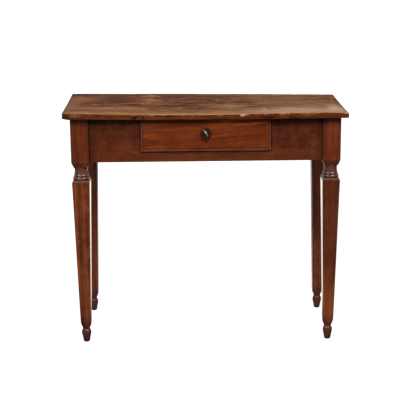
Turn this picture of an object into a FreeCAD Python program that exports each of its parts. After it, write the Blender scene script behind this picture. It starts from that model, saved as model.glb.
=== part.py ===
import FreeCAD, Part
import math
import os
from types import SimpleNamespace

import Sketcher

Vector = FreeCAD.Vector

# Driving sizes, in millimetres and degrees
SIZES = {
    # whole table
    "table_height": 780,
    "top_length": 916,
    "top_depth": 414,
    "top_thickness": 18,
    "front_plank_depth": 150,
    "end_overhang": 22,
    "front_overhang": 23,
    "rear_overhang": 14,
    "corner_radius": 7,
    "worn_edge": 3.5,
    "under_edge": 2,
    "arris": 1.4,
    # top joint and bolt slot
    "dowel_radius": 4,
    "dowel_length": 40,
    "dowel_spread": 300,
    "slot_depth": 6.5,
    "slot_gap": 1,
    # posts and aprons
    "post_width": 58,
    "apron_height": 141,
    "apron_thickness": 22,
    "apron_recess": 4,
    "tenon_length": 30,
    "tenon_thickness": 9,
    "tenon_shoulder": 12,
    "mortise_spare": 2,
    "glue_gap": 0.1,
    # turned neck, heights taken down from the apron's lower edge
    "bevel_width": 43,
    "bevel_height": 18,
    "neck_end_radius": 22.2,
    "neck_radius": 21.2,
    "neck_drop": 41,
    "upper_bead_radius": 24.2,
    "upper_bead_size": 3.6,
    "upper_bead_drop": 45.2,
    "lower_bead_radius": 27.8,
    "lower_bead_size": 5,
    "lower_bead_drop": 54.4,
    "collar_radius": 22.6,
    "ledge_width": 52,
    "ledge_drop": 59.6,
    "shoulder_width": 57.5,
    "shoulder_drop": 66.5,
    # tapered shaft and turned foot, heights taken up from the floor
    "shaft_end_width": 34.6,
    "shaft_end_height": 68,
    "turned_height": 36,
    "ankle_radius": 11.7,
    "ankle_height": 47,
    "bulb_radius": 16,
    "bulb_height": 33,
    "bulb_low_radius": 13.8,
    "bulb_low_height": 20,
    "foot_hollow": 70,
    "foot_waist_radius": 11.5,
    "foot_waist_height": 6,
    "foot_radius": 9.8,
    "foot_edge": 1.6,
    # drawer opening, runners and guides
    "opening_width": 399,
    "apron_sill": 45,
    "runner_width": 44,
    "runner_height": 20,
    "runner_reach": 24,
    "housing_depth": 8,
    "guide_height": 24,
    "nail_radius": 1.2,
    "nail_head_radius": 2.6,
    "nail_head_height": 1,
    "nail_bite": 14,
    "nail_spread": 110,
    "hole_gap": 0.05,
    "hole_spare": 1,
    # glue blocks
    "block_length": 48,
    "block_leg": 24,
    "block_nose": 6,
    "block_spread": 60,
    # drawer
    "lip_overlap": 10,
    "lip_thickness": 7,
    "lip_gap": 0.3,
    "lip_step": 1.2,
    "lip_round": 2.2,
    "moulding_width": 11,
    "insert_thickness": 16,
    "drawer_gap": 1,
    "drawer_top_gap": 2,
    "slide_gap": 0.3,
    "side_thickness": 11,
    "side_drop": 4,
    "back_thickness": 10,
    "rear_gap": 12,
    "front_tail_length": 11,
    "front_tail_base": 19,
    "front_tail_end": 25,
    "rear_tail_base": 17,
    "rear_tail_end": 22,
    "panel_thickness": 6,
    "panel_rise": 8,
    "groove_depth": 5,
    "panel_nail_spread": 130,
    "panel_nail_radius": 1,
    "panel_nail_bite": 16,
    # lock
    "key_drop": 43,
    "plate_thickness": 1.6,
    "plate_width": 70,
    "plate_height": 62,
    "flange_depth": 11.6,
    "cap_width": 44,
    "cap_height": 56,
    "cap_depth": 8.4,
    "cap_wall": 1.2,
    "mortise_gap": 0.3,
    "bolt_width": 26,
    "bolt_thickness": 4.6,
    "bolt_sink": 0.4,
    "bolt_lift_gap": 6.2,
    "bolt_side_gap": 0.4,
    "spring_radius": 16,
    "spring_thickness": 0.8,
    "spring_width": 4,
    "spring_gap": 0.3,
    "spring_drop": 25,
    "pin_radius": 1.4,
    "pin_length": 13.4,
    "screw_radius": 1.5,
    "screw_head_radius": 3,
    "screw_length": 12,
    "screw_side": 29,
    "screw_low": 7,
    "screw_high": 13,
    "screw_slot": 0.7,
    # key
    "key_lean": 30,
    "key_radius": 3,
    "key_bore": 1.7,
    "key_bore_depth": 15,
    "key_end_gap": 0.6,
    "collar_ring_radius": 4.3,
    "collar_ring_length": 2.4,
    "collar_ring_place": 4.4,
    "bow_round": 9.5,
    "bow_run": 7,
    "bow_width": 4.2,
    "bow_thickness": 4.4,
    "bow_edge": 1.5,
    "bow_place": 17.5,
    "bit_length": 12,
    "bit_thickness": 2.4,
    "bit_width": 5,
    # escutcheon
    "keyhole_radius": 3.5,
    "keyhole_slot": 3.4,
    "keyhole_drop": 12.8,
    "shield_half": 18,
    "shield_drop": 33.5,
    "shield_side": 42,
    "shield_shift": 1.5,
    "shield_thickness": 1.4,
    "field_half": 14.6,
    "field_drop": 27.5,
    "field_side": 34.5,
    "field_rise": 0.7,
    "shield_edge": 0.6,
    "brad_radius": 0.8,
    "brad_head_radius": 1.5,
    "brad_head_height": 0.8,
    "brad_length": 7,
    "brad_side": 16.2,
    "brad_drop": 31,
}

doc = FreeCAD.newDocument("tavern_table")
sheet = doc.addObject("Spreadsheet::Sheet", "dims")
for row, (alias, value) in enumerate(SIZES.items(), start=1):
    sheet.set(f"A{row}", alias)
    sheet.set(f"B{row}", str(value))
    sheet.setAlias(f"B{row}", alias)
doc.recompute()


class Size:
    """A sheet expression, kept with its present value."""

    def __init__(self, text, value):
        self.text = text
        self.value = value

    def joined(self, sign, other, value):
        return Size(f"({self.text} {sign} {other.text})", value)

    def __add__(self, other):
        other = as_size(other)
        return self.joined("+", other, self.value + other.value)

    def __sub__(self, other):
        other = as_size(other)
        return self.joined("-", other, self.value - other.value)

    def __mul__(self, other):
        other = as_size(other)
        return self.joined("*", other, self.value * other.value)

    def __truediv__(self, other):
        other = as_size(other)
        return self.joined("/", other, self.value / other.value)

    def __neg__(self):
        return self * -1

    def __radd__(self, other):
        return as_size(other) + self

    def __rsub__(self, other):
        return as_size(other) - self

    def __rmul__(self, other):
        return as_size(other) * self


def as_size(number):
    """A plain number as a Size, and a Size as it is."""
    return number if isinstance(number, Size) else Size(f"({number})", float(number))


dim = SimpleNamespace(**{alias: Size(f"dims.{alias}", float(sheet.get(alias))) for alias in SIZES})

# Half of a square's diagonal, and a little more, as a share of its width
CORNER_REACH = 0.75
# A bead's arc is this much larger than its half height, so that it stays just under a half circle
BEAD_EASE = 1.001

# Levels and places that follow from the driving sizes
top_under = dim.table_height - dim.top_thickness
apron_bottom = top_under - dim.apron_height
half_post = dim.post_width / 2
leg_x = dim.top_length / 2 - dim.end_overhang - half_post
leg_front_y = dim.front_overhang + half_post - dim.top_depth / 2
leg_rear_y = dim.top_depth / 2 - dim.rear_overhang - half_post
long_span = leg_x * 2 - dim.post_width
short_span = leg_rear_y - leg_front_y - dim.post_width
apron_set = half_post - dim.apron_recess - dim.apron_thickness / 2
front_inner_y = leg_front_y - apron_set + dim.apron_thickness / 2
rear_inner_y = leg_rear_y + apron_set - dim.apron_thickness / 2
tenon_height = dim.apron_height - dim.tenon_shoulder * 2
runner_level = apron_bottom + dim.apron_sill
runner_x = dim.opening_width / 2 - dim.runner_reach + dim.runner_width / 2
guide_width = dim.runner_width - dim.runner_reach
guide_x = (dim.opening_width + guide_width) / 2

# Drawer sizes, taken from its face and its lower edge
face_y = leg_front_y - half_post + dim.apron_recess - dim.lip_gap - dim.lip_thickness
face_bottom = runner_level - dim.lip_overlap
face_width = dim.opening_width + dim.lip_overlap * 2
face_height = top_under - dim.drawer_top_gap - face_bottom
front_thickness = dim.lip_thickness + dim.insert_thickness
insert_width = dim.opening_width - dim.drawer_gap * 2
insert_bottom = dim.lip_overlap + dim.drawer_gap
side_bottom = dim.lip_overlap + dim.slide_gap
side_top = face_height - dim.side_drop
drawer_end = rear_inner_y - dim.rear_gap - face_y
panel_bottom = side_bottom + dim.panel_rise
panel_top = panel_bottom + dim.panel_thickness
inner_width = insert_width - dim.side_thickness * 2
side_x = (insert_width - dim.side_thickness) / 2
key_level = face_height - dim.key_drop
plate_face = front_thickness - dim.plate_thickness
cap_top = face_height - dim.plate_thickness
cap_bottom = cap_top - dim.cap_height
bolt_y = plate_face - (dim.cap_depth - dim.cap_wall) / 2
drawer_base = (0, face_y, face_bottom)


def bind(item, prop, size):
    item.setExpression(prop, as_size(size).text)


def move(item, base):
    """Bind the item's place to the sheet."""
    for axis, size in zip("xyz", base):
        bind(item, f".Placement.Base.{axis}", size)


def swing(body, axis, degrees):
    """Turn the body about an axis through its own base."""
    body.Placement = FreeCAD.Placement(body.Placement.Base, FreeCAD.Rotation(axis, degrees))


def new_body(name, base):
    body = doc.addObject("PartDesign::Body", name)
    body.Label = name
    move(body, base)
    return body


def new_sketch(body, role, at):
    """An empty sketch on one of the body's origin planes, with its origin at a point of the body."""
    x, y, z = (as_size(size) for size in at)
    shift = {"XY_Plane": (x, y, z), "XZ_Plane": (x, z, -y), "YZ_Plane": (y, z, x)}[role]
    sketch = body.newObject("Sketcher::SketchObject", "sketch")
    plane = next(item for item in body.Origin.OriginFeatures if item.Role == role)
    sketch.AttachmentSupport = [(plane, "")]
    sketch.MapMode = "FlatFace"
    for axis, size in zip("xyz", shift):
        bind(sketch, f".AttachmentOffset.Base.{axis}", size)
    return sketch


def fix(sketch, name, kind, where, size):
    """Add one dimension to a sketch and bind it to the sheet."""
    index = sketch.addConstraint(Sketcher.Constraint(kind, *where, as_size(size).value))
    sketch.renameConstraint(index, name)
    bind(sketch, f"Constraints.{name}", size)


def tie(sketch, kind, *where):
    sketch.addConstraint(Sketcher.Constraint(kind, *where))


def add_loop(sketch, points):
    """Straight lines round a closed loop, joined at their ends."""
    first = sketch.GeometryCount
    count = len(points)
    for start, end in zip(points, points[1:] + points[:1]):
        sketch.addGeometry(Part.LineSegment(Vector(*start, 0), Vector(*end, 0)))
    for step in range(count):
        tie(sketch, "Coincident", first + step, 2, first + (step + 1) % count, 1)
    return first


def rectangle(body, role, at, across, along):
    """A rectangle centred on a point of the body."""
    sketch = new_sketch(body, role, at)
    u = as_size(across).value / 2
    v = as_size(along).value / 2
    first = add_loop(sketch, [(-u, -v), (u, -v), (u, v), (-u, v)])
    for line in (0, 2):
        tie(sketch, "Horizontal", first + line)
    for line in (1, 3):
        tie(sketch, "Vertical", first + line)
    tie(sketch, "Symmetric", first, 1, first + 2, 1, -1, 1)
    fix(sketch, "across", "DistanceX", (first, 1, first, 2), across)
    fix(sketch, "along", "DistanceY", (first + 1, 1, first + 1, 2), along)
    return sketch


def circle(body, role, at, radius):
    sketch = new_sketch(body, role, at)
    ring = sketch.addGeometry(Part.Circle(Vector(), Vector(0, 0, 1), as_size(radius).value))
    tie(sketch, "Coincident", ring, 3, -1, 1)
    fix(sketch, "radius", "Radius", (ring,), radius)
    return sketch


def extrude(body, kind, sketch, length):
    """Pad or pocket a sketch evenly to both sides."""
    feature = body.newObject(f"PartDesign::{kind}", kind.lower())
    feature.Profile = sketch
    feature.SideType = "Symmetric"
    bind(feature, "Length", length)
    return feature


def block(body, kind, centre, size):
    """Add or cut a block round its centre."""
    return extrude(body, kind, rectangle(body, "XY_Plane", centre, size[0], size[1]), size[2])


def rod(body, kind, role, centre, radius, length):
    """Add or cut a round rod round its centre, square to a plane."""
    return extrude(body, kind, circle(body, role, centre, radius), length)


def dovetail(body, kind, centre, towards, base, end, length, thickness):
    """Add or cut one tail that widens along Y, with its root at the centre."""
    sketch = new_sketch(body, "YZ_Plane", centre)
    u = towards * as_size(length).value
    near = as_size(base).value / 2
    far = as_size(end).value / 2
    first = add_loop(sketch, [(0, -near), (u, -far), (u, far), (0, near)])
    tie(sketch, "Symmetric", first, 1, first + 2, 2, -1, 1)
    tie(sketch, "Symmetric", first + 1, 1, first + 1, 2, -1)
    tie(sketch, "Vertical", first + 3)
    fix(sketch, "base", "DistanceY", (first, 1, first + 2, 2), base)
    fix(sketch, "end", "DistanceY", (first + 1, 1, first + 1, 2), end)
    reach = (first, 1, first, 2) if towards > 0 else (first, 2, first, 1)
    fix(sketch, "reach", "DistanceX", reach, length)
    return extrude(body, kind, sketch, thickness)


def half_profile(body, steps):
    """A closed half profile beside the body's Z axis.

    Each step is (radius, height, curve), where the curve is the radius of the arc that leads to the
    next step, hollow if it is negative, or None for a straight line. A radius of None lies on the axis.
    """
    sketch = new_sketch(body, "XZ_Plane", (0, 0, 0))
    count = len(steps)
    points = [Vector(as_size(r or 0).value, as_size(z).value, 0) for r, z, curve in steps]
    ends = []
    for index, (radius, height, curve) in enumerate(steps):
        start = points[index]
        end = points[(index + 1) % count]
        if curve is None:
            sketch.addGeometry(Part.LineSegment(start, end))
            ends.append((1, 2))
            continue
        size = abs(curve.value)
        chord = end - start
        side = Vector(-chord.y, chord.x, 0).normalize()
        if curve.value < 0:
            side = side * -1
        rise = math.sqrt(size * size - chord.Length * chord.Length / 4)
        centre = (start + end) / 2 + side * rise
        angles = [math.atan2(point.y - centre.y, point.x - centre.x) for point in (start, end)]
        ends.append((1, 2) if curve.value > 0 else (2, 1))
        if curve.value < 0:
            angles.reverse()
        ring = Part.Circle(centre, Vector(0, 0, 1), size)
        sketch.addGeometry(Part.ArcOfCircle(ring, angles[0], angles[1]))
    for index, (radius, height, curve) in enumerate(steps):
        following = (index + 1) % count
        tie(sketch, "Coincident", index, ends[index][1], following, ends[following][0])
        if radius is None:
            tie(sketch, "PointOnObject", index, ends[index][0], -2)
        else:
            fix(sketch, f"radius_{index}", "DistanceX", (-1, 1, index, ends[index][0]), radius)
        fix(sketch, f"height_{index}", "DistanceY", (-1, 1, index, ends[index][0]), height)
        if curve is not None:
            fix(sketch, f"curve_{index}", "Radius", (index,), curve if curve.value > 0 else -curve)
    return sketch


def turn(body, kind, sketch):
    """Revolve a half profile about its upright axis."""
    feature = body.newObject(f"PartDesign::{kind}", kind.lower())
    feature.Profile = sketch
    feature.ReferenceAxis = (sketch, ["V_Axis"])
    feature.Angle = 360
    return feature


def taper(body, first, second):
    """A straight-sided loft between two sketches."""
    feature = body.newObject("PartDesign::AdditiveLoft", "taper")
    feature.Profile = first
    feature.Sections = [second]
    feature.Ruled = True
    return feature


def dress(body, kind, prop, size, wanted):
    """Round or bevel the edges of the body so far whose boxes pass the test."""
    doc.recompute()
    base = body.Tip
    names = [f"Edge{i}" for i, edge in enumerate(base.Shape.Edges, start=1) if wanted(edge.BoundBox)]
    feature = body.newObject(f"PartDesign::{kind}", kind.lower())
    feature.Base = (base, names)
    bind(feature, prop, size)
    return feature


def swell(fall, height):
    """Radius of an arc that starts upright and falls inward over a height."""
    return (fall * fall + height * height) / (fall * 2)


def level(low, high, place):
    """Whether a box's two limits both lie at one place."""
    return abs(low - place) < 0.01 and abs(high - place) < 0.01


def square(body, width, height):
    """A square across the body's axis at one height."""
    return rectangle(body, "XY_Plane", (0, 0, height), width, width)


def make_leg(name, inward_x, inward_y, base):
    """One leg from a single piece: post, turned neck, tapered shaft and turned foot."""
    body = new_body(name, base)
    post_middle = (top_under + apron_bottom) / 2
    block(body, "Pad", (0, 0, post_middle), (dim.post_width, dim.post_width, dim.apron_height))
    bevel_end = apron_bottom - dim.bevel_height
    neck_end = apron_bottom - dim.neck_drop
    ledge = apron_bottom - dim.ledge_drop
    shoulder = apron_bottom - dim.shoulder_drop
    taper(body, square(body, dim.post_width, apron_bottom), square(body, dim.bevel_width, bevel_end))
    # hollow neck down to the collar under the beads
    hollow = swell(dim.neck_end_radius - dim.neck_radius, (bevel_end - neck_end) / 2)
    turn(body, "Revolution", half_profile(body, [
        (None, bevel_end, None),
        (None, ledge, None),
        (dim.collar_radius, ledge, None),
        (dim.collar_radius, neck_end, None),
        (dim.neck_end_radius, neck_end, -hollow),
        (dim.neck_end_radius, bevel_end, None),
    ]))
    for bead, size, drop in (
        (dim.upper_bead_radius, dim.upper_bead_size, dim.upper_bead_drop),
        (dim.lower_bead_radius, dim.lower_bead_size, dim.lower_bead_drop),
    ):
        middle = apron_bottom - drop
        turn(body, "Revolution", half_profile(body, [
            (None, middle - size, None),
            (bead - size, middle - size, size * BEAD_EASE),
            (bead - size, middle + size, None),
            (None, middle + size, None),
        ]))
    # square shoulder and taper, run down to the ankle
    fall = (dim.shoulder_width - dim.shaft_end_width) / (shoulder - dim.shaft_end_height)
    ankle_width = dim.shaft_end_width - fall * (dim.shaft_end_height - dim.ankle_height)
    taper(body, square(body, dim.ledge_width, ledge), square(body, dim.shoulder_width, shoulder))
    taper(body, square(body, dim.shoulder_width, shoulder), square(body, ankle_width, dim.ankle_height))
    # arrises of the post and the shaft
    dress(body, "Fillet", "Radius", dim.arris, lambda box: box.ZLength > 100)
    # corners of the shaft turned away towards the ankle
    corner = dim.shaft_end_width * CORNER_REACH
    turn(body, "Groove", half_profile(body, [
        (dim.ankle_radius, dim.ankle_height, None),
        (corner, dim.ankle_height, None),
        (corner, dim.ankle_height + dim.turned_height, None),
    ]))
    # bulb foot
    bulb_top = dim.ankle_height - dim.foot_edge
    turn(body, "Revolution", half_profile(body, [
        (None, 0, None),
        (dim.foot_radius - dim.foot_edge, 0, dim.foot_edge * 1.2),
        (dim.foot_radius, dim.foot_edge, None),
        (dim.foot_waist_radius, dim.foot_waist_height, -dim.foot_hollow),
        (
            dim.bulb_low_radius,
            dim.bulb_low_height,
            swell(dim.bulb_radius - dim.bulb_low_radius, dim.bulb_height - dim.bulb_low_height),
        ),
        (
            dim.bulb_radius,
            dim.bulb_height,
            swell(dim.bulb_radius - dim.ankle_radius, bulb_top - dim.bulb_height),
        ),
        (dim.ankle_radius, bulb_top, None),
        (dim.ankle_radius, dim.ankle_height + dim.foot_edge, None),
        (None, dim.ankle_height + dim.foot_edge, None),
    ]))
    # mortises for the two tenons
    deep = dim.tenon_length + dim.mortise_spare
    thick = dim.tenon_thickness + dim.glue_gap * 2
    high = tenon_height + dim.glue_gap * 2
    block(body, "Pocket", (half_post * inward_x, apron_set * -inward_y, post_middle), (deep * 2, thick, high))
    block(body, "Pocket", (apron_set * -inward_x, half_post * inward_y, post_middle), (thick, deep * 2, high))
    return body


def make_apron(name, base, span, quarter_turns):
    """One apron board with a tenon at each end."""
    body = new_body(name, base)
    swing(body, Vector(0, 0, 1), 90 * quarter_turns)
    middle = dim.apron_height / 2
    block(body, "Pad", (0, 0, middle), (span, dim.apron_thickness, dim.apron_height))

    def lower_arris(box):
        return level(box.ZMin, box.ZMax, 0) and box.XLength > 100

    dress(body, "Fillet", "Radius", dim.arris, lower_arris)
    block(body, "Pad", (0, 0, middle), (span + dim.tenon_length * 2, dim.tenon_thickness, tenon_height))
    return body


def house_runners(apron, inner):
    """Cut the two housings for the drawer runners into an apron's inner face."""
    for side in (-1, 1):
        centre = (runner_x * side, dim.apron_thickness / 2 * inner, dim.apron_sill - dim.runner_height / 2)
        block(apron, "Pocket", centre, (dim.runner_width, dim.housing_depth * 2, dim.runner_height))


def make_plank(name, edge, seam, outer):
    """One board of the top; outer is -1 where its free long edge is the front one."""
    body = new_body(name, (0, 0, top_under))
    depth = (seam - edge) * -outer
    middle = (0, (edge + seam) / 2, dim.top_thickness / 2)
    block(body, "Pad", middle, (dim.top_length, depth, dim.top_thickness))
    at_edge = edge.value

    def free_corner(box):
        return box.ZLength > 1 and level(box.YMin, box.YMax, at_edge)

    def rim(height):
        return lambda box: level(box.ZMin, box.ZMax, height) and not level(box.YMin, box.YMax, seam.value)

    dress(body, "Fillet", "Radius", dim.corner_radius, free_corner)
    dress(body, "Fillet", "Radius", dim.worn_edge, rim(dim.top_thickness.value))
    dress(body, "Fillet", "Radius", dim.under_edge, rim(0))
    for step in (-1, 0, 1):
        centre = (dim.dowel_spread * step, seam, dim.top_thickness / 2)
        length = dim.dowel_length + dim.hole_spare * 2
        rod(body, "Pocket", "XZ_Plane", centre, dim.dowel_radius + dim.hole_gap, length)
    return body


def make_blocks(name, base, quarter_turns, places):
    """A row of glue blocks in the corner between an apron's inner face and the top."""
    body = new_body(name, base)
    swing(body, Vector(0, 0, 1), 90 * quarter_turns)
    leg = dim.block_leg
    nose = dim.block_nose
    for place in places:
        sketch = new_sketch(body, "YZ_Plane", (place, 0, 0))
        corners = [(0, 0), (0, -leg), (nose, -leg), (leg, -nose), (leg, 0)]
        first = add_loop(sketch, [tuple(as_size(size).value for size in corner) for corner in corners])
        tie(sketch, "Coincident", first, 1, -1, 1)
        for line in (0, 3):
            tie(sketch, "Vertical", first + line)
        for line in (1, 4):
            tie(sketch, "Horizontal", first + line)
        fix(sketch, "down", "DistanceY", (first, 2, first, 1), leg)
        fix(sketch, "along", "DistanceX", (first + 4, 2, first + 4, 1), leg)
        fix(sketch, "low_nose", "DistanceX", (first + 1, 1, first + 1, 2), nose)
        fix(sketch, "high_nose", "DistanceY", (first + 3, 1, first + 3, 2), nose)
        extrude(body, "Pad", sketch, dim.block_length)
    return body


def make_runner(name, side):
    body = new_body(name, (runner_x * side, (front_inner_y + rear_inner_y) / 2, runner_level))
    length = rear_inner_y - front_inner_y + dim.housing_depth * 2
    block(body, "Pad", (0, 0, dim.runner_height / -2), (dim.runner_width, length, dim.runner_height))
    for step in (-1, 1):
        centre = ((guide_x - runner_x) * side, dim.nail_spread * step, 0)
        length = (dim.nail_bite + dim.hole_spare) * 2
        rod(body, "Pocket", "XY_Plane", centre, dim.nail_radius + dim.hole_gap, length)
    return body


def make_guide(name, side):
    body = new_body(name, (guide_x * side, (front_inner_y + rear_inner_y) / 2, runner_level))
    length = rear_inner_y - front_inner_y
    block(body, "Pad", (0, 0, dim.guide_height / 2), (guide_width, length, dim.guide_height))
    for step in (-1, 1):
        centre = (0, dim.nail_spread * step, dim.guide_height / 2)
        rod(body, "Pocket", "XY_Plane", centre, dim.nail_radius + dim.hole_gap, dim.guide_height * 2)
    return body


def pin(base, axis, shank_radius, shank_length, head_radius, head_height):
    """A round pin along an axis: the head starts at the base, and the shank runs on from it."""
    parts = []
    for radius, length, place in ((head_radius, head_height, 0), (shank_radius, shank_length, head_height)):
        piece = doc.addObject("Part::Cylinder", "pin_piece")
        piece.Placement = FreeCAD.Placement(Vector(), FreeCAD.Rotation(Vector(0, 0, 1), axis))
        bind(piece, "Radius", radius)
        bind(piece, "Height", length)
        move(piece, [start + as_size(place) * step for start, step in zip(base, axis)])
        parts.append(piece)
    whole = doc.addObject("Part::Fuse", "pin")
    whole.Base, whole.Tool = parts
    return whole


def compound(name, parts):
    group = doc.addObject("Part::Compound", name)
    group.Label = name
    group.Links = parts
    return group


def keyhole(body, centre, length):
    """Cut a keyhole through along Y: a round eye with a slot hanging below it."""
    x, y, z = centre
    rod(body, "Pocket", "XZ_Plane", centre, dim.keyhole_radius, length)
    slot = rectangle(body, "XZ_Plane", (x, y, z - dim.keyhole_drop / 2), dim.keyhole_slot, dim.keyhole_drop)
    extrude(body, "Pocket", slot, length)


def shield(body, at, half, drop, side):
    """A shield: a round head over two long curves that meet in a point."""
    sketch = new_sketch(body, "XZ_Plane", at)
    wide, low, large = half.value, drop.value, side.value
    chord = math.hypot(wide, low)
    rise = math.sqrt(large * large - chord * chord / 4)
    centre = Vector(rise * low / chord - wide / 2, rise * wide / chord - low / 2, 0)
    up = Vector(0, 0, 1)
    sketch.addGeometry(Part.ArcOfCircle(Part.Circle(Vector(), up, wide), 0, math.pi))
    ends = [math.atan2(-centre.y, -wide - centre.x), math.atan2(-low - centre.y, -centre.x)]
    mirrored = [math.pi - angle for angle in reversed(ends)]
    across = Vector(-centre.x, centre.y, 0)
    sketch.addGeometry(Part.ArcOfCircle(Part.Circle(centre, up, large), ends[0], ends[1]))
    sketch.addGeometry(Part.ArcOfCircle(Part.Circle(across, up, large), mirrored[0], mirrored[1]))
    for arc in range(3):
        tie(sketch, "Coincident", arc, 2, (arc + 1) % 3, 1)
    tie(sketch, "Coincident", 0, 3, -1, 1)
    tie(sketch, "PointOnObject", 0, 1, -1)
    tie(sketch, "PointOnObject", 0, 2, -1)
    tie(sketch, "PointOnObject", 1, 2, -2)
    tie(sketch, "Equal", 1, 2)
    fix(sketch, "half", "Radius", (0,), half)
    fix(sketch, "side", "Radius", (1,), side)
    fix(sketch, "drop", "DistanceY", (1, 2, -1, 1), drop)
    return sketch


def oval(sketch, name, radius, run):
    """Two half circles joined by straight sides, longer along the sketch's second axis."""
    first = sketch.GeometryCount
    r = radius.value
    half = run.value / 2
    up = Vector(0, 0, 1)
    sketch.addGeometry(Part.ArcOfCircle(Part.Circle(Vector(0, half, 0), up, r), 0, math.pi))
    sketch.addGeometry(Part.LineSegment(Vector(-r, half, 0), Vector(-r, -half, 0)))
    sketch.addGeometry(Part.ArcOfCircle(Part.Circle(Vector(0, -half, 0), up, r), math.pi, math.pi * 2))
    sketch.addGeometry(Part.LineSegment(Vector(r, -half, 0), Vector(r, half, 0)))
    for step in range(4):
        tie(sketch, "Tangent", first + step, 2, first + (step + 1) % 4, 1)
    tie(sketch, "Symmetric", first, 3, first + 2, 3, -1, 1)
    tie(sketch, "Vertical", first + 1)
    fix(sketch, f"{name}_radius", "Radius", (first,), radius)
    fix(sketch, f"{name}_run", "DistanceY", (first + 1, 2, first + 1, 1), run)


# Top
front_edge = dim.top_depth / -2
rear_edge = dim.top_depth / 2
seam_y = front_edge + dim.front_plank_depth
front_plank = make_plank("top_front_plank", front_edge, seam_y, -1)
rear_plank = make_plank("top_rear_plank", rear_edge, seam_y, 1)
block(
    front_plank,
    "Pocket",
    (0, face_y + bolt_y, 0),
    (dim.bolt_width + dim.slot_gap * 2, dim.bolt_thickness + dim.slot_gap * 2, dim.slot_depth * 2),
)
dowels = []
for step in (-1, 0, 1):
    dowel = doc.addObject("Part::Cylinder", "dowel")
    dowel.Placement = FreeCAD.Placement(Vector(), FreeCAD.Rotation(Vector(0, 0, 1), Vector(0, 1, 0)))
    bind(dowel, "Radius", dim.dowel_radius)
    bind(dowel, "Height", dim.dowel_length)
    move(dowel, (dim.dowel_spread * step, seam_y - dim.dowel_length / 2, top_under + dim.top_thickness / 2))
    dowels.append(dowel)
pieces = [front_plank, rear_plank, compound("top_dowels", dowels)]

# Legs
for side_name, side in (("left", -1), ("right", 1)):
    pieces.append(make_leg(f"front_{side_name}_leg", -side, 1, (leg_x * side, leg_front_y, 0)))
    pieces.append(make_leg(f"rear_{side_name}_leg", -side, -1, (leg_x * side, leg_rear_y, 0)))

# Aprons
front_apron = make_apron("front_apron", (0, leg_front_y - apron_set, apron_bottom), long_span, 0)
rear_apron = make_apron("rear_apron", (0, leg_rear_y + apron_set, apron_bottom), long_span, 0)
block(
    front_apron,
    "Pocket",
    (0, 0, dim.apron_height),
    (dim.opening_width, dim.apron_thickness * 2, (dim.apron_height - dim.apron_sill) * 2),
)
house_runners(front_apron, 1)
house_runners(rear_apron, -1)
pieces += [front_apron, rear_apron]
middle_y = (leg_front_y + leg_rear_y) / 2
for side_name, side in (("left", -1), ("right", 1)):
    base = ((leg_x + apron_set) * side, middle_y, apron_bottom)
    pieces.append(make_apron(f"{side_name}_apron", base, short_span, 1))

# Drawer runners, guides and their nails
nails = []
for side_name, side in (("left", -1), ("right", 1)):
    pieces.append(make_runner(f"{side_name}_drawer_runner", side))
    pieces.append(make_guide(f"{side_name}_drawer_guide", side))
    for step in (-1, 1):
        nail_base = (
            guide_x * side,
            (front_inner_y + rear_inner_y) / 2 + dim.nail_spread * step,
            runner_level + dim.guide_height + dim.nail_head_height,
        )
        nails.append(pin(
            nail_base,
            Vector(0, 0, -1),
            dim.nail_radius,
            dim.guide_height + dim.nail_bite,
            dim.nail_head_radius,
            dim.nail_head_height,
        ))
pieces.append(compound("guide_nails", nails))

# Glue blocks under the top; on the long sides they share the room between the drawer and the posts
side_inner_x = leg_x + apron_set - dim.apron_thickness / 2
pair = [-dim.block_spread, dim.block_spread]
half_opening = dim.opening_width / 2
block_room = long_span / 2 - half_opening
front_pair = [(half_opening + block_room / 2) * side for side in (-1, 1)]
rear_row = [(half_opening + block_room * share) * side for side in (-1, 1) for share in (0.25, 0.75)]
pieces += [
    make_blocks("front_glue_blocks", (0, front_inner_y, top_under), 0, front_pair),
    make_blocks("rear_glue_blocks", (0, rear_inner_y, top_under), 2, rear_row),
    make_blocks("left_glue_blocks", (-side_inner_x, middle_y, top_under), 3, pair),
    make_blocks("right_glue_blocks", (side_inner_x, middle_y, top_under), 1, pair),
]

# Drawer front: rounded lip, raised field, insert, sockets, groove and lock mortise
drawer_front = new_body("drawer_front", drawer_base)
block(
    drawer_front,
    "Pad",
    (0, (dim.lip_step + dim.lip_thickness) / 2, face_height / 2),
    (face_width, dim.lip_thickness - dim.lip_step, face_height),
)
at_lip = dim.lip_step.value
dress(drawer_front, "Fillet", "Radius", dim.lip_round, lambda box: level(box.YMin, box.YMax, at_lip))
moulding = dim.moulding_width * 2
block(
    drawer_front,
    "Pad",
    (0, dim.lip_thickness / 2, face_height / 2),
    (face_width - moulding, dim.lip_thickness, face_height - moulding),
)
block(
    drawer_front,
    "Pad",
    (0, (dim.lip_thickness + front_thickness) / 2, (insert_bottom + face_height) / 2),
    (insert_width, dim.insert_thickness, face_height - insert_bottom),
)
front_pitch = (side_top - side_bottom) / 2
rear_pitch = (side_top - panel_top) / 2
front_rows = [side_bottom + front_pitch * (row + 0.5) for row in (0, 1)]
rear_rows = [panel_top + rear_pitch * (row + 0.5) for row in (0, 1)]
ease = dim.glue_gap * 2
for side in (-1, 1):
    for height in front_rows:
        dovetail(
            drawer_front,
            "Pocket",
            (side_x * side, front_thickness, height),
            -1,
            dim.front_tail_base + ease,
            dim.front_tail_end + ease,
            dim.front_tail_length + dim.glue_gap,
            dim.side_thickness,
        )
groove_middle = (panel_bottom + panel_top) / 2
groove_height = dim.panel_thickness + ease
block(
    drawer_front,
    "Pocket",
    (0, front_thickness, groove_middle),
    (inner_width, dim.groove_depth * 2, groove_height),
)
cap_mortise_depth = dim.cap_depth + dim.plate_thickness + dim.mortise_gap
cap_mortise_height = face_height - cap_bottom + dim.mortise_gap
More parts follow.
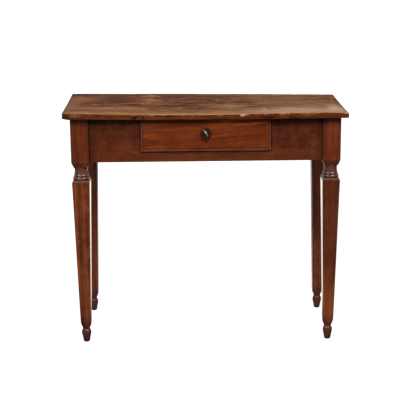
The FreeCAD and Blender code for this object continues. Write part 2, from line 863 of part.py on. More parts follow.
block(
    drawer_front,
    "Pocket",
    (0, front_thickness, face_height),
    (dim.cap_width + dim.mortise_gap * 2, cap_mortise_depth * 2, cap_mortise_height * 2),
)
plate_mortise_width = dim.plate_width + dim.mortise_gap * 2
block(
    drawer_front,
    "Pocket",
    (0, front_thickness, face_height),
    (plate_mortise_width, dim.plate_thickness * 2, (dim.plate_height + dim.mortise_gap) * 2),
)
block(
    drawer_front,
    "Pocket",
    (0, front_thickness, face_height),
    (plate_mortise_width, (dim.flange_depth + dim.mortise_gap) * 2, dim.plate_thickness * 2),
)
keyhole(drawer_front, (0, 0, key_level), front_thickness * 2)
plate_foot = face_height - dim.plate_height
screw_places = [
    (dim.screw_side * side, height)
    for side in (-1, 1)
    for height in (plate_foot + dim.screw_low, face_height - dim.screw_high)
]
for x, z in screw_places:
    length = (dim.screw_length - dim.plate_thickness + dim.hole_spare) * 2
    rod(drawer_front, "Pocket", "XZ_Plane", (x, plate_face, z), dim.screw_radius + dim.hole_gap, length)
brad_places = [
    (-dim.brad_side, key_level - dim.shield_shift),
    (dim.brad_side, key_level - dim.shield_shift),
    (as_size(0), key_level - dim.brad_drop),
]
for x, z in brad_places:
    rod(drawer_front, "Pocket", "XZ_Plane", (x, 0, z), dim.brad_radius + dim.hole_gap, dim.brad_length * 2)
pieces.append(drawer_front)

# Drawer sides, with tails at both ends
back_face = drawer_end - dim.back_thickness
for side_name, side in (("left", -1), ("right", 1)):
    body = new_body(f"drawer_{side_name}_side", drawer_base)
    x = side_x * side
    block(
        body,
        "Pad",
        (x, (front_thickness + back_face) / 2, (side_bottom + side_top) / 2),
        (dim.side_thickness, back_face - front_thickness, side_top - side_bottom),
    )
    block(
        body,
        "Pad",
        (x, (front_thickness + drawer_end) / 2, (side_bottom + panel_top) / 2),
        (dim.side_thickness, drawer_end - front_thickness, panel_top - side_bottom),
    )
    for height in front_rows:
        dovetail(
            body,
            "Pad",
            (x, front_thickness, height),
            -1,
            dim.front_tail_base,
            dim.front_tail_end,
            dim.front_tail_length,
            dim.side_thickness,
        )
    for height in rear_rows:
        dovetail(
            body,
            "Pad",
            (x, back_face, height),
            1,
            dim.rear_tail_base,
            dim.rear_tail_end,
            dim.back_thickness,
            dim.side_thickness,
        )
    block(
        body,
        "Pocket",
        (inner_width / 2 * side, (front_thickness + drawer_end) / 2, groove_middle),
        (dim.groove_depth * 2, drawer_end - front_thickness, groove_height),
    )
    pieces.append(body)

# Drawer back, cut to take the rear tails
drawer_back = new_body("drawer_back", drawer_base)
back_middle = (back_face + drawer_end) / 2
block(
    drawer_back,
    "Pad",
    (0, back_middle, (panel_top + side_top) / 2),
    (insert_width, dim.back_thickness, side_top - panel_top),
)
for side in (-1, 1):
    for height in rear_rows:
        dovetail(
            drawer_back,
            "Pocket",
            (side_x * side, back_face, height),
            1,
            dim.rear_tail_base + ease,
            dim.rear_tail_end + ease,
            dim.back_thickness,
            dim.side_thickness,
        )

# Drawer bottom, slid in under the back and nailed to it
drawer_bottom = new_body("drawer_bottom", drawer_base)
panel_front = front_thickness - dim.groove_depth + ease
for start, width in ((front_thickness, inner_width + dim.groove_depth * 2), (panel_front, inner_width)):
    block(
        drawer_bottom,
        "Pad",
        (0, (start + drawer_end) / 2, groove_middle),
        (width - ease * 2, drawer_end - start, dim.panel_thickness),
    )
panel_nails = []
for step in (-1, 0, 1):
    place = (dim.panel_nail_spread * step, back_middle, panel_bottom)
    hole = dim.panel_nail_radius + dim.hole_gap
    rod(drawer_bottom, "Pocket", "XY_Plane", place, hole, (dim.panel_thickness + dim.hole_spare) * 2)
    socket = (place[0], back_middle, panel_top)
    rod(drawer_back, "Pocket", "XY_Plane", socket, hole, (dim.panel_nail_bite + dim.hole_spare) * 2)
    head = (place[0], face_y + back_middle, face_bottom + panel_bottom - dim.nail_head_height)
    panel_nails.append(pin(
        head,
        Vector(0, 0, 1),
        dim.panel_nail_radius,
        dim.panel_thickness + dim.panel_nail_bite,
        dim.nail_head_radius,
        dim.nail_head_height,
    ))
pieces += [drawer_back, drawer_bottom, compound("drawer_bottom_nails", panel_nails)]

# Lock plate with its top flange
lock_plate = new_body("lock_plate", drawer_base)
block(
    lock_plate,
    "Pad",
    (0, (plate_face + front_thickness) / 2, (plate_foot + face_height) / 2),
    (dim.plate_width, dim.plate_thickness, dim.plate_height),
)
block(
    lock_plate,
    "Pad",
    (0, front_thickness - dim.flange_depth / 2, (cap_top + face_height) / 2),
    (dim.plate_width, dim.flange_depth, dim.plate_thickness),
)
bolt_ease = dim.bolt_side_gap * 2
block(
    lock_plate,
    "Pocket",
    (0, bolt_y, face_height),
    (dim.bolt_width + bolt_ease, dim.bolt_thickness + bolt_ease, dim.plate_thickness * 4),
)
screw_hole = dim.screw_head_radius + dim.hole_gap
for x, z in screw_places:
    rod(lock_plate, "Pocket", "XZ_Plane", (x, front_thickness, z), screw_hole, dim.plate_thickness * 2)
pieces.append(lock_plate)

# Lock cap, a tray that is open towards the plate and the flange
lock_cap = new_body("lock_cap", drawer_base)
cap_front = plate_face - dim.cap_depth
block(
    lock_cap,
    "Pad",
    (0, (cap_front + plate_face) / 2, (cap_bottom + cap_top) / 2),
    (dim.cap_width, dim.cap_depth, dim.cap_height),
)
block(
    lock_cap,
    "Pocket",
    (0, plate_face, cap_top),
    (
        dim.cap_width - dim.cap_wall * 2,
        (dim.cap_depth - dim.cap_wall) * 2,
        (dim.cap_height - dim.cap_wall) * 2,
    ),
)
keyhole(lock_cap, (0, cap_front, key_level), dim.cap_wall * 4)
pieces.append(lock_cap)

# Bolt, down in the unlocked place
lock_bolt = new_body("lock_bolt", drawer_base)
bolt_low = key_level + dim.bolt_lift_gap
bolt_high = face_height - dim.bolt_sink
block(
    lock_bolt,
    "Pad",
    (0, bolt_y, (bolt_low + bolt_high) / 2),
    (dim.bolt_width, dim.bolt_thickness, bolt_high - bolt_low),
)
dress(lock_bolt, "Chamfer", "Size", dim.bolt_sink, lambda box: level(box.ZMin, box.ZMax, bolt_high.value))
pieces.append(lock_bolt)

# Bowed leaf spring between the cap's wall and the bolt
spring_x = dim.bolt_width / -2 - dim.spring_gap - dim.spring_radius
wall_x = dim.cap_wall - dim.cap_width / 2
spring_z = face_bottom + face_height - dim.spring_drop
spring_y = face_y + bolt_y - dim.spring_width / 2
rings = []
for radius in (dim.spring_radius, dim.spring_radius - dim.spring_thickness):
    ring = doc.addObject("Part::Cylinder", "spring_ring")
    ring.Placement = FreeCAD.Placement(Vector(), FreeCAD.Rotation(Vector(0, 0, 1), Vector(0, 1, 0)))
    bind(ring, "Radius", radius)
    bind(ring, "Height", dim.spring_width)
    move(ring, (spring_x, spring_y, spring_z))
    rings.append(ring)
band = doc.addObject("Part::Cut", "spring_band")
band.Base, band.Tool = rings
room = doc.addObject("Part::Box", "spring_room")
bind(room, "Length", dim.spring_radius)
bind(room, "Width", dim.spring_width)
bind(room, "Height", dim.spring_radius * 2)
move(room, (wall_x, spring_y, spring_z - dim.spring_radius))
lock_spring = doc.addObject("Part::Common", "lock_spring")
lock_spring.Label = "lock_spring"
lock_spring.Base, lock_spring.Tool = band, room
pieces.append(lock_spring)

# Pin that the hollow key turns on
lock_pin = doc.addObject("Part::Cylinder", "lock_pin")
lock_pin.Label = "lock_pin"
lock_pin.Placement = FreeCAD.Placement(Vector(), FreeCAD.Rotation(Vector(0, 0, 1), Vector(0, -1, 0)))
bind(lock_pin, "Radius", dim.pin_radius)
bind(lock_pin, "Height", dim.pin_length)
move(lock_pin, (0, face_y + plate_face, face_bottom + key_level))
pieces.append(lock_pin)

# Slotted lock screws
screws = []
for x, z in screw_places:
    place = (x, face_y + front_thickness, face_bottom + z)
    shank = pin(
        place,
        Vector(0, -1, 0),
        dim.screw_radius,
        dim.screw_length - dim.plate_thickness,
        dim.screw_head_radius,
        dim.plate_thickness,
    )
    slot = doc.addObject("Part::Box", "screw_slot")
    bind(slot, "Length", dim.screw_head_radius * 2)
    bind(slot, "Width", dim.screw_slot * 2)
    bind(slot, "Height", dim.screw_slot)
    move(slot, (x - dim.screw_head_radius, place[1] - dim.screw_slot, place[2] - dim.screw_slot / 2))
    screw = doc.addObject("Part::Cut", "screw")
    screw.Base, screw.Tool = shank, slot
    screws.append(screw)
pieces.append(compound("lock_screws", screws))

# Escutcheon with a raised field, and its brads
escutcheon = new_body("escutcheon", (0, face_y, face_bottom + key_level))
centre = (0, dim.shield_thickness / -2, -dim.shield_shift)
extrude(
    escutcheon,
    "Pad",
    shield(escutcheon, centre, dim.shield_half, dim.shield_drop, dim.shield_side),
    dim.shield_thickness,
)
at_front = -dim.shield_thickness.value
dress(escutcheon, "Chamfer", "Size", dim.shield_edge, lambda box: level(box.YMin, box.YMax, at_front))
field_face = dim.shield_thickness + dim.field_rise
field_centre = (0, field_face / -2, -dim.shield_shift)
extrude(
    escutcheon,
    "Pad",
    shield(escutcheon, field_centre, dim.field_half, dim.field_drop, dim.field_side),
    field_face,
)
keyhole(escutcheon, (0, 0, 0), field_face * 4)
brad_hole = dim.brad_radius + dim.hole_gap
for x, z in brad_places:
    rod(escutcheon, "Pocket", "XZ_Plane", (x, 0, z - key_level), brad_hole, field_face * 4)
pieces.append(escutcheon)
brads = []
for x, z in brad_places:
    head = (x, face_y - dim.shield_thickness - dim.brad_head_height, face_bottom + z)
    brads.append(pin(
        head,
        Vector(0, 1, 0),
        dim.brad_radius,
        dim.brad_length,
        dim.brad_head_radius,
        dim.brad_head_height,
    ))
pieces.append(compound("escutcheon_pins", brads))

# Key: oval bow, hollow stem with a collar, and the bit
key = new_body("key", (0, face_y, face_bottom + key_level))
swing(key, Vector(0, 1, 0), -dim.key_lean.value)
bow = new_sketch(key, "YZ_Plane", (0, -dim.bow_place, 0))
oval(bow, "outer", dim.bow_round, dim.bow_run)
oval(bow, "inner", dim.bow_round - dim.bow_width, dim.bow_run)
extrude(key, "Pad", bow, dim.bow_thickness)
dress(key, "Fillet", "Radius", dim.bow_edge, lambda box: box.XLength < 0.01)
stem_end = plate_face - dim.key_end_gap
stem_start = dim.bow_round - dim.bow_place - dim.bow_width / 2
rod(key, "Pad", "XZ_Plane", (0, (stem_start + stem_end) / 2, 0), dim.key_radius, stem_end - stem_start)
collar_middle = -dim.collar_ring_place
rod(key, "Pad", "XZ_Plane", (0, collar_middle, 0), dim.collar_ring_radius, dim.collar_ring_length)
block(key, "Pad", (0, bolt_y, dim.bit_length / -2), (dim.bit_thickness, dim.bit_width, dim.bit_length))
rod(key, "Pocket", "XZ_Plane", (0, stem_end, 0), dim.key_bore, dim.key_bore_depth * 2)
pieces.append(key)

doc.recompute()

# Every object must have come out sound before anything is written
failed = [item.Name for item in doc.Objects if {"Invalid", "Error"} & set(item.State)]
if failed:
    raise RuntimeError(f"failed objects: {failed}")
for piece in pieces:
    if piece.Shape.isNull() or not piece.Shape.isValid() or not piece.Shape.Solids:
        raise RuntimeError(f"unsound piece: {piece.Label}")

os.makedirs("parts", exist_ok=True)
for piece in pieces:
    piece.Shape.exportStep(f"parts/{piece.Label}.step")
    volume = piece.Shape.Volume / 1000
    print(f"{piece.Label}: {len(piece.Shape.Solids)} solids, {volume:.1f} cubic centimetres")
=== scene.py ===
import math
import random
from typing import NamedTuple

import bpy
import numpy as np
from mathutils import Matrix, Vector, noise


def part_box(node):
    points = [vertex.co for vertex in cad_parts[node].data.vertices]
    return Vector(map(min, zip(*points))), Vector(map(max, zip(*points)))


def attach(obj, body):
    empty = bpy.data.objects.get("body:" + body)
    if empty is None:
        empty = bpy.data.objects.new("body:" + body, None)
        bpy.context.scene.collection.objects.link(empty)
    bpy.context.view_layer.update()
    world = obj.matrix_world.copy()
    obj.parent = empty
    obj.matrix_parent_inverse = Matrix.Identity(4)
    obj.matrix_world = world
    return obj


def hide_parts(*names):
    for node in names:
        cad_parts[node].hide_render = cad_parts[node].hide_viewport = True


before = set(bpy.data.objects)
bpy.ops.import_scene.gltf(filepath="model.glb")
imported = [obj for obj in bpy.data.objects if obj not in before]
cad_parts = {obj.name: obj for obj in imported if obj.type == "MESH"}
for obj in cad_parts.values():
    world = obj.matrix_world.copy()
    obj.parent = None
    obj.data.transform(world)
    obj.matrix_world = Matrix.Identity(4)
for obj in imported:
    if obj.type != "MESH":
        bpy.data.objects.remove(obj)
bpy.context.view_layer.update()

# Camera, fitted to the photograph's corners, posts and feet
CAMERA_PLACE = (-0.06029, -3.79944, 1.38219)
CAMERA_YAW = -0.01097
CAMERA_PITCH = -0.24101
CAMERA_ROLL = 0.00858
CAMERA_LENS = 102.757
SENSOR_WIDTH = 36.0
CLIP_END = 100.0

# Softboxes: angle from the view direction, height angle, distance, size and power
SOFTBOX_ANGLE = math.radians(39)
SOFTBOX_RISE = math.radians(40)
SOFTBOX_DISTANCE = 2.9
SOFTBOX_SIZE = 1.2
SOFTBOX_POWER = 54.0
LIGHT_TARGET = Vector((0.0, 0.0, 0.5))
# Light from the studio itself, white behind the table and dark round the camera
BACKDROP_LIGHT = 0.6
ROOM_LIGHT = 0.04
BACKDROP_RISE = (0.05, 0.65)
WHITE_IN_VIEW = 1.1
# The floor: its edges, its grey, and how far it glows to the camera and in reflections
FLOOR_FRONT = -1.5
FLOOR_REACH = 9.0
FLOOR_GREYS = (0.38, 0.42)
FLOOR_CLOUDS = 1.5
FLOOR_GLOW_NEAR = 0.88
FLOOR_GLOW_FAR = 1.1
FLOOR_GLOW_REACH = (0.5, 2.5)
FLOOR_MIRRORED = 1.5
FLOOR_MIRRORED_GREY = 0.02
FLOOR_MIRRORED_BACK = (0.0, 0.4)
FLOOR_MIRRORED_ASIDE = (0.65, 0.4)
FLOOR_WARMTH = (1.0, 0.88, 0.8, 1.0)


def srgb(red, green, blue):
    """A colour in screen numbers, 0 to 255, as the linear colour that the nodes take."""

    def linear(part):
        share = part / 255
        return share / 12.92 if share <= 0.04045 else ((share + 0.055) / 1.055) ** 2.4

    return (linear(red), linear(green), linear(blue), 1.0)


def grey(level):
    """A linear grey."""
    return (level, level, level, 1.0)


class Graph:
    """The node tree of a material or a world, put together from its coordinates to its shader."""

    def __init__(self, owner):
        self.owner = owner
        owner.use_nodes = True
        self.tree = owner.node_tree
        self.tree.nodes.clear()

    def put(self, socket, value):
        """Link or set one socket."""
        if isinstance(value, bpy.types.NodeSocket):
            self.tree.links.new(value, socket)
        else:
            socket.default_value = value

    def node(self, kind, settings=None, **inputs):
        """A node with its settings, and its inputs by name."""
        made = self.tree.nodes.new(kind)
        for name, value in (settings or {}).items():
            setattr(made, name, value)
        for name, value in inputs.items():
            self.put(made.inputs[name.replace("_", " ")], value)
        return made

    def result(self, kind, settings, *values):
        """What a node makes of values put in turn into the sockets that its settings leave open."""
        made = self.node(kind, settings)
        sockets = [socket for socket in made.inputs if socket.enabled]
        for socket, value in zip(sockets, values):
            self.put(socket, value)
        return next(socket for socket in made.outputs if socket.enabled)

    def math(self, operation, *values):
        return self.result("ShaderNodeMath", {"operation": operation}, *values)

    def times(self, first, second):
        return self.math("MULTIPLY", first, second)

    def vector(self, operation, *values):
        return self.result("ShaderNodeVectorMath", {"operation": operation}, *values)

    def parts(self, vector):
        """The X, Y and Z of a vector."""
        return self.node("ShaderNodeSeparateXYZ", Vector=vector).outputs

    def mix(self, share, first, second):
        """The first colour with a share of the second."""
        return self.result("ShaderNodeMix", {"data_type": "RGBA"}, share, first, second)

    def ramp(self, share, *stops):
        """Colours at their places along a share."""
        made = self.node("ShaderNodeValToRGB", Fac=share)
        elements = made.color_ramp.elements
        while len(elements) < len(stops):
            elements.new(0.5)
        for element, (place, colour) in zip(elements, stops):
            element.position = place
            element.color = colour
        return made.outputs["Color"]

    def span(self, value, low, high, start=0.0, end=1.0):
        """The value from low to high, eased and spread from start to end."""
        eased = {"interpolation_type": "SMOOTHSTEP"}
        return self.result("ShaderNodeMapRange", eased, value, low, high, start, end)

    def noise(self, vector, detail, roughness=0.5, output="Fac"):
        made = self.node("ShaderNodeTexNoise", Vector=vector, Scale=1.0, Detail=detail, Roughness=roughness)
        return made.outputs[output]

    def drift(self, *pattern):
        """Noise as a push to either side: -0.5 to 0.5 along each axis."""
        return self.vector("SUBTRACT", self.noise(*pattern, output="Color"), (0.5, 0.5, 0.5))

    def shader(self, **inputs):
        principled = self.node("ShaderNodeBsdfPrincipled", **inputs)
        self.node("ShaderNodeOutputMaterial", Surface=principled.outputs["BSDF"])
        return self.owner


def new_graph(name):
    """The empty node tree of a new material."""
    return Graph(bpy.data.materials.new(name))


# Turns that bring a piece's grain to X
GRAIN_TURNS = {
    "x": (0, 0, 0),
    "y": (0, 0, -math.pi / 2),
    "z": (0, math.pi / 2, 0),
    "rising x": (0, math.radians(5), 0),
}
# How far one step of a seed moves the grain, and how far the grain sways
SEED_SHIFT = (1.37, 0.73, 0.41)
GRAIN_SWAY = (0.0, 0.022, 0.022)
# The wood's patterns: waves in a metre along and across the grain, then detail and roughness
PATTERNS = {
    "sway": (1.6, 8.0, 2.0, 0.5),
    "fibre": (3.0, 150.0, 5.0, 0.68),
    "streak": (1.4, 42.0, 3.0, 0.6),
    "blotch": (5.0, 12.0, 3.0, 0.55),
    "pore": (24.0, 1300.0, 2.0, 0.5),
    "cloud": (26.0, 44.0, 5.0, 0.64),
    "cross mark": (170.0, 14.0, 3.0, 0.6),
    "fleck": (300.0, 420.0, 2.0, 0.5),
    "patch": (9.0, 50.0, 5.0, 0.7),
    "short streak": (22.0, 62.0, 4.0, 0.66),
    "rust": (7.0, 26.0, 3.0, 0.6),
    "ragged": (16.0, 46.0, 5.0, 0.62),
    "scratch": (10.0, 120.0, 2.0, 0.5),
    "edge cloud": (26.0, 90.0, 4.0, 0.62),
}


class Grain:
    """The patterns of every kind of wood here, in a space where the grain runs along X."""

    def __init__(self, graph, axis, seed):
        self.graph = graph
        self.coords = graph.node("ShaderNodeTexCoord").outputs["Object"]
        shift = tuple(seed * step for step in SEED_SHIFT)
        turn = GRAIN_TURNS[axis]
        placed = graph.node("ShaderNodeMapping", Vector=self.coords, Location=shift, Rotation=turn)
        self.plain = placed.outputs["Vector"]
        sway = graph.vector("MULTIPLY", self.push("sway", self.plain), GRAIN_SWAY)
        self.wavy = graph.vector("ADD", self.plain, sway)
        self.fibre = self.pattern("fibre", self.wavy)
        self.streak = self.pattern("streak", self.wavy)
        self.blotch = self.pattern("blotch", self.plain)

    def stretch(self, name, vector):
        """What the noise of a pattern takes: coordinates, detail and roughness."""
        along, across, detail, roughness = PATTERNS[name]
        return self.graph.vector("MULTIPLY", vector, (along, across, across)), detail, roughness

    def pattern(self, name, vector):
        """One of the patterns, 0 to 1."""
        return self.graph.noise(*self.stretch(name, vector))

    def push(self, name, vector):
        """One of the patterns, as a push to either side."""
        return self.graph.drift(*self.stretch(name, vector))

    def figure(self, fibre, streak, blotch):
        """The patterns added up, each by its share."""
        total = self.graph.times(self.fibre, fibre)
        total = self.graph.math("MULTIPLY_ADD", self.streak, streak, total)
        return self.graph.math("MULTIPLY_ADD", self.blotch, blotch, total)


# Rays for a rounded arris and for a corner's shade
ARRIS_SAMPLES = 6
CREVICE_SAMPLES = 8
# Range of the blotches over which a wood's gloss changes
GLOSS_BLOTCH = (0.3, 0.7)


def arrises(graph, radius, low, high):
    """The normal rounded over the arrises of a solid, and a mask that is 1 on them and 0 on its flats."""
    rounded = graph.node("ShaderNodeBevel", {"samples": ARRIS_SAMPLES}, Radius=radius).outputs["Normal"]
    sharp = graph.node("ShaderNodeNewGeometry").outputs["Normal"]
    turned = graph.math("SUBTRACT", 1.0, graph.vector("DOT_PRODUCT", rounded, sharp))
    return rounded, graph.span(turned, low, high)


def crevice_mask(graph, reach, low, high):
    """1 in corners and under ledges, and 0 where a face lies open."""
    occlusion = graph.node("ShaderNodeAmbientOcclusion", {"samples": CREVICE_SAMPLES}, Distance=reach)
    return graph.span(occlusion.outputs["AO"], high, low)


def band(graph, value, low, high, blur, share):
    """share between low and high, and 0 outside them."""
    off = graph.math("ABSOLUTE", graph.math("SUBTRACT", value, (low + high) / 2))
    half = (high - low) / 2
    return graph.span(off, half + blur / 2, half - blur / 2, 0.0, share)


# Where a spot ends and where it is full, in shares of its size
SPOT_EDGE = (1.1, 0.4)


def spot(graph, coords, centre, size, share):
    """share in a small ellipsoid, and 0 outside it."""
    offset = graph.vector("SUBTRACT", coords, centre)
    shrunk = graph.vector("MULTIPLY", offset, tuple(1 / part for part in size))
    return graph.span(graph.vector("LENGTH", shrunk), *SPOT_EDGE, 0.0, share)


def add_spots(graph, colour, coords, places, tone):
    """The colour with a tone laid over some small places."""
    for centre, size, share in places:
        colour = graph.mix(spot(graph, coords, centre, size, share), colour, tone)
    return colour


# The polish: shares of fibre, streak and blotch in its colour and in its relief
POLISH_FIGURE = (0.4, 0.35, 0.25)
POLISH_RELIEF = (0.5, 0.3, 0.2)
# Where the dark, middle and light tones lie on that figure
TONE_PLACES = (0.41, 0.5, 0.6)
# Where each pattern starts to show and is full, then shares of flecks, pores and least rubbing
DARK_CLOUD = (0.5, 0.66)
LIGHT_CLOUD = (0.47, 0.33)
CROSS_MARK = (0.54, 0.68)
FLECK = (0.5, 0.7)
POLISH_PORE = (0.58, 0.7)
RUBBED_STREAK = (0.35, 0.65)
FLECK_SHARE = 0.4
POLISH_PORE_SHARE = 0.5
POLISH_PORE_DEPTH = 0.25
LEAST_RUB = 0.4
# Rubbed arrises: radius, and turn of the normal where the wear starts and is full
RUBBED_ARRIS = (0.0025, 0.02, 0.25)
# Painted shade under ledges: reach, and how open a face is where it is full and where it ends
LEDGE_SHADE = (0.045, 0.3, 0.8)
# The same for the painted shade in corners, whose reach each piece gives, and its tone and share
CORNER_OPEN = (0.5, 0.94)
CORNER_SHADE_TONE = srgb(16, 6, 4)
CORNER_SHADE_SHARE = 0.9
POLISH_ROUGHNESS = (0.36, 0.52)


def stained_wood(
    name, axis, seed, tones, streaks, mottle, marks=0.0,
    detail=None, rub=0.5, grime=1.0, gap=0.012, shade=0.6, coat=0.5,
):
    """Old red-brown polish over hardwood, rubbed light on the arrises, with painted shade under ledges and
    in the corners.

    streaks is how far the grain shows, mottle how cloudy the polish is, and marks how dark the marks
    across the grain are. detail adds what only this piece has. rub is how light the arrises are, grime
    how dark the painted shade in the corners is, gap how far it reaches, shade how dark the painted
    shade under ledges is and coat the gloss.
    """
    graph = new_graph(name)
    grain = Grain(graph, axis, seed)
    dark, _, light, worn = tones
    even = graph.math("MULTIPLY_ADD", grain.figure(*POLISH_FIGURE), streaks, 0.5 - 0.5 * streaks)
    colour = graph.ramp(even, *zip(TONE_PLACES, tones))
    cloud = grain.pattern("cloud", grain.plain)
    colour = graph.mix(graph.span(cloud, *DARK_CLOUD, 0.0, mottle), colour, dark)
    colour = graph.mix(graph.span(cloud, *LIGHT_CLOUD, 0.0, mottle), colour, light)
    across = grain.pattern("cross mark", grain.plain)
    colour = graph.mix(graph.span(across, *CROSS_MARK, 0.0, marks), colour, dark)
    fleck = grain.pattern("fleck", grain.plain)
    colour = graph.mix(graph.span(fleck, *FLECK, 0.0, FLECK_SHARE), colour, dark)
    pores = graph.span(grain.pattern("pore", grain.wavy), *POLISH_PORE)
    colour = graph.mix(graph.times(pores, POLISH_PORE_SHARE), colour, dark)
    rounded, rubbed = arrises(graph, *RUBBED_ARRIS)
    patchy = graph.span(grain.streak, *RUBBED_STREAK, rub * LEAST_RUB, rub)
    colour = graph.mix(graph.times(rubbed, patchy), colour, worn)
    if detail:
        colour = detail(graph, grain, colour, tones)
    # Painted shade: darker under ledges and in corners
    under = graph.times(crevice_mask(graph, *LEDGE_SHADE), shade)
    corner = graph.times(crevice_mask(graph, gap, *CORNER_OPEN), grime)
    painted_shade = graph.times(graph.math("MAXIMUM", under, corner), CORNER_SHADE_SHARE)
    colour = graph.mix(painted_shade, colour, CORNER_SHADE_TONE)
    sunk = graph.times(pores, POLISH_PORE_DEPTH)
    relief = graph.math("SUBTRACT", grain.figure(*POLISH_RELIEF), sunk)
    bump = graph.node("ShaderNodeBump", Strength=0.3, Distance=0.0005, Height=relief, Normal=rounded)
    return graph.shader(
        Base_Color=colour,
        Roughness=graph.span(grain.blotch, *GLOSS_BLOTCH, *POLISH_ROUGHNESS),
        Normal=bump.outputs["Normal"],
        Coat_Normal=rounded,
        Specular_IOR_Level=0.2,
        Coat_Weight=coat,
        Coat_Roughness=0.12,
    )


# Stretches of a leg with a tone of their own: lowest and highest point, blur and share
POST = (0.628, 0.77)
POST_BLUR = 0.03
POST_SHARE = 0.42
POST_TONE = srgb(80, 23, 4)
ANKLE = (0.03, 0.085, 0.03, 0.4)
NECK = (0.556, 0.604, 0.012, 0.7)
NECK_TONE = srgb(102, 65, 58)
FOOT = (-0.02, 0.05, 0.012, 0.7)
FOOT_TONE = srgb(82, 46, 40)
STRETCH_BLUR = 0.07
# The height below which a leg may be lighter, and where that is full
FOOT_LIGHT = (0.24, 0.14)
# Painted shade on the posts' inner sides, next to the aprons: distance out from the middle, and share
POST_INNER_SHADE = (0.408, 0.378)
POST_INNER_SHADE_SHARE = 0.6
# Light arrises of the posts: radius and turn as for the polish, then blur and share
POST_ARRIS = (0.003, 0.015, 0.15)
POST_ARRIS_BLUR = 0.01
POST_ARRIS_SHARE = 0.8


def leg_detail(stretch, darker, foot_light):
    """Dark turned parts and post, light arrises on the post, painted shade on the post's inner side, and a
    darker stretch of the leg.

    foot_light is how much lighter the leg is towards the foot.
    """

    def add(graph, grain, colour, tones):
        dark, _, light, worn = tones
        place = graph.parts(grain.coords)
        height = place["Z"]
        colour = graph.mix(band(graph, height, *stretch, STRETCH_BLUR, darker), colour, dark)
        colour = graph.mix(graph.span(height, *FOOT_LIGHT, 0.0, foot_light), colour, light)
        colour = graph.mix(band(graph, height, *POST, POST_BLUR, POST_SHARE), colour, POST_TONE)
        # Painted shade on the post's inner side, next to the apron
        inner = graph.span(graph.math("ABSOLUTE", place["X"]), *POST_INNER_SHADE, 0.0, POST_INNER_SHADE_SHARE)
        inner = graph.times(inner, band(graph, height, *POST, POST_BLUR, 1.0))
        colour = graph.mix(inner, colour, POST_TONE)
        for part, tone in ((ANKLE, dark), (NECK, NECK_TONE), (FOOT, FOOT_TONE)):
            colour = graph.mix(band(graph, height, *part), colour, tone)
        _, edge = arrises(graph, *POST_ARRIS)
        on_post = band(graph, height, *POST, POST_ARRIS_BLUR, POST_ARRIS_SHARE)
        return graph.mix(graph.times(edge, on_post), colour, worn)

    return add


# Lines along the drawer's lip, how far in from its edge, from and to: painted highlights with dust on its
# rounded edge and on the step inside it, and painted shade in the recess between them and on its sides
LIP_LINE = (0.0004, 0.0034)
RECESS_SHADE_LINE = (0.0042, 0.0092)
MOULDING_LINE = (0.0098, 0.0118)
LIP_HIGHLIGHT_AND_DUST = srgb(146, 108, 92)
LINE_BLUR = 0.001
# How far behind the front the lines end, and the patches that break them up
LINE_DEPTH = (0.008, 0.006)
LINE_PATCHES = 55.0
LINE_PATCHY = (0.36, 0.56, 0.35, 1.0)
# Lighter and darker figure on the drawer front, and a patch of painted light high on its right half, in the
# top's shade: centre, size and share
DRAWER_FIGURE_AND_PAINTED_LIGHT = (
    ((-0.176, -0.187, 0.704), (0.045, 0.02, 0.012), 0.36),
    ((-0.165, -0.187, 0.671), (0.04, 0.02, 0.008), 0.4),
    # Painted light, high on the right half where the top's overhang shades the drawer
    ((0.11, -0.187, 0.749), (0.11, 0.02, 0.012), 1.0),
)
DRAWER_DARK = (
    ((-0.164, -0.187, 0.688), (0.024, 0.02, 0.006), 0.6),
    ((-0.135, -0.187, 0.72), (0.07, 0.02, 0.006), 0.4),
    ((-0.11, -0.187, 0.705), (0.13, 0.02, 0.06), 0.2),
)
# Tone of the lighter figure and of the painted light
FLAME_AND_PAINTED_LIGHT_TONE = srgb(184, 90, 30)
LIT_FIBRE = (0.42, 0.58)
FIGURE_SIZE = 45.0
FIGURE_PUSH = (0.03, 0.0, 0.012)
# The drawer front's inner face, which has no polish: its place, figure and colours
INNER_FACE = (0.002, 0.001)
BARE_FIGURE = (0.35, 0.45, 0.2)
INNER_BARE = ((0.4, srgb(104, 66, 38)), (0.6, srgb(150, 104, 64)))


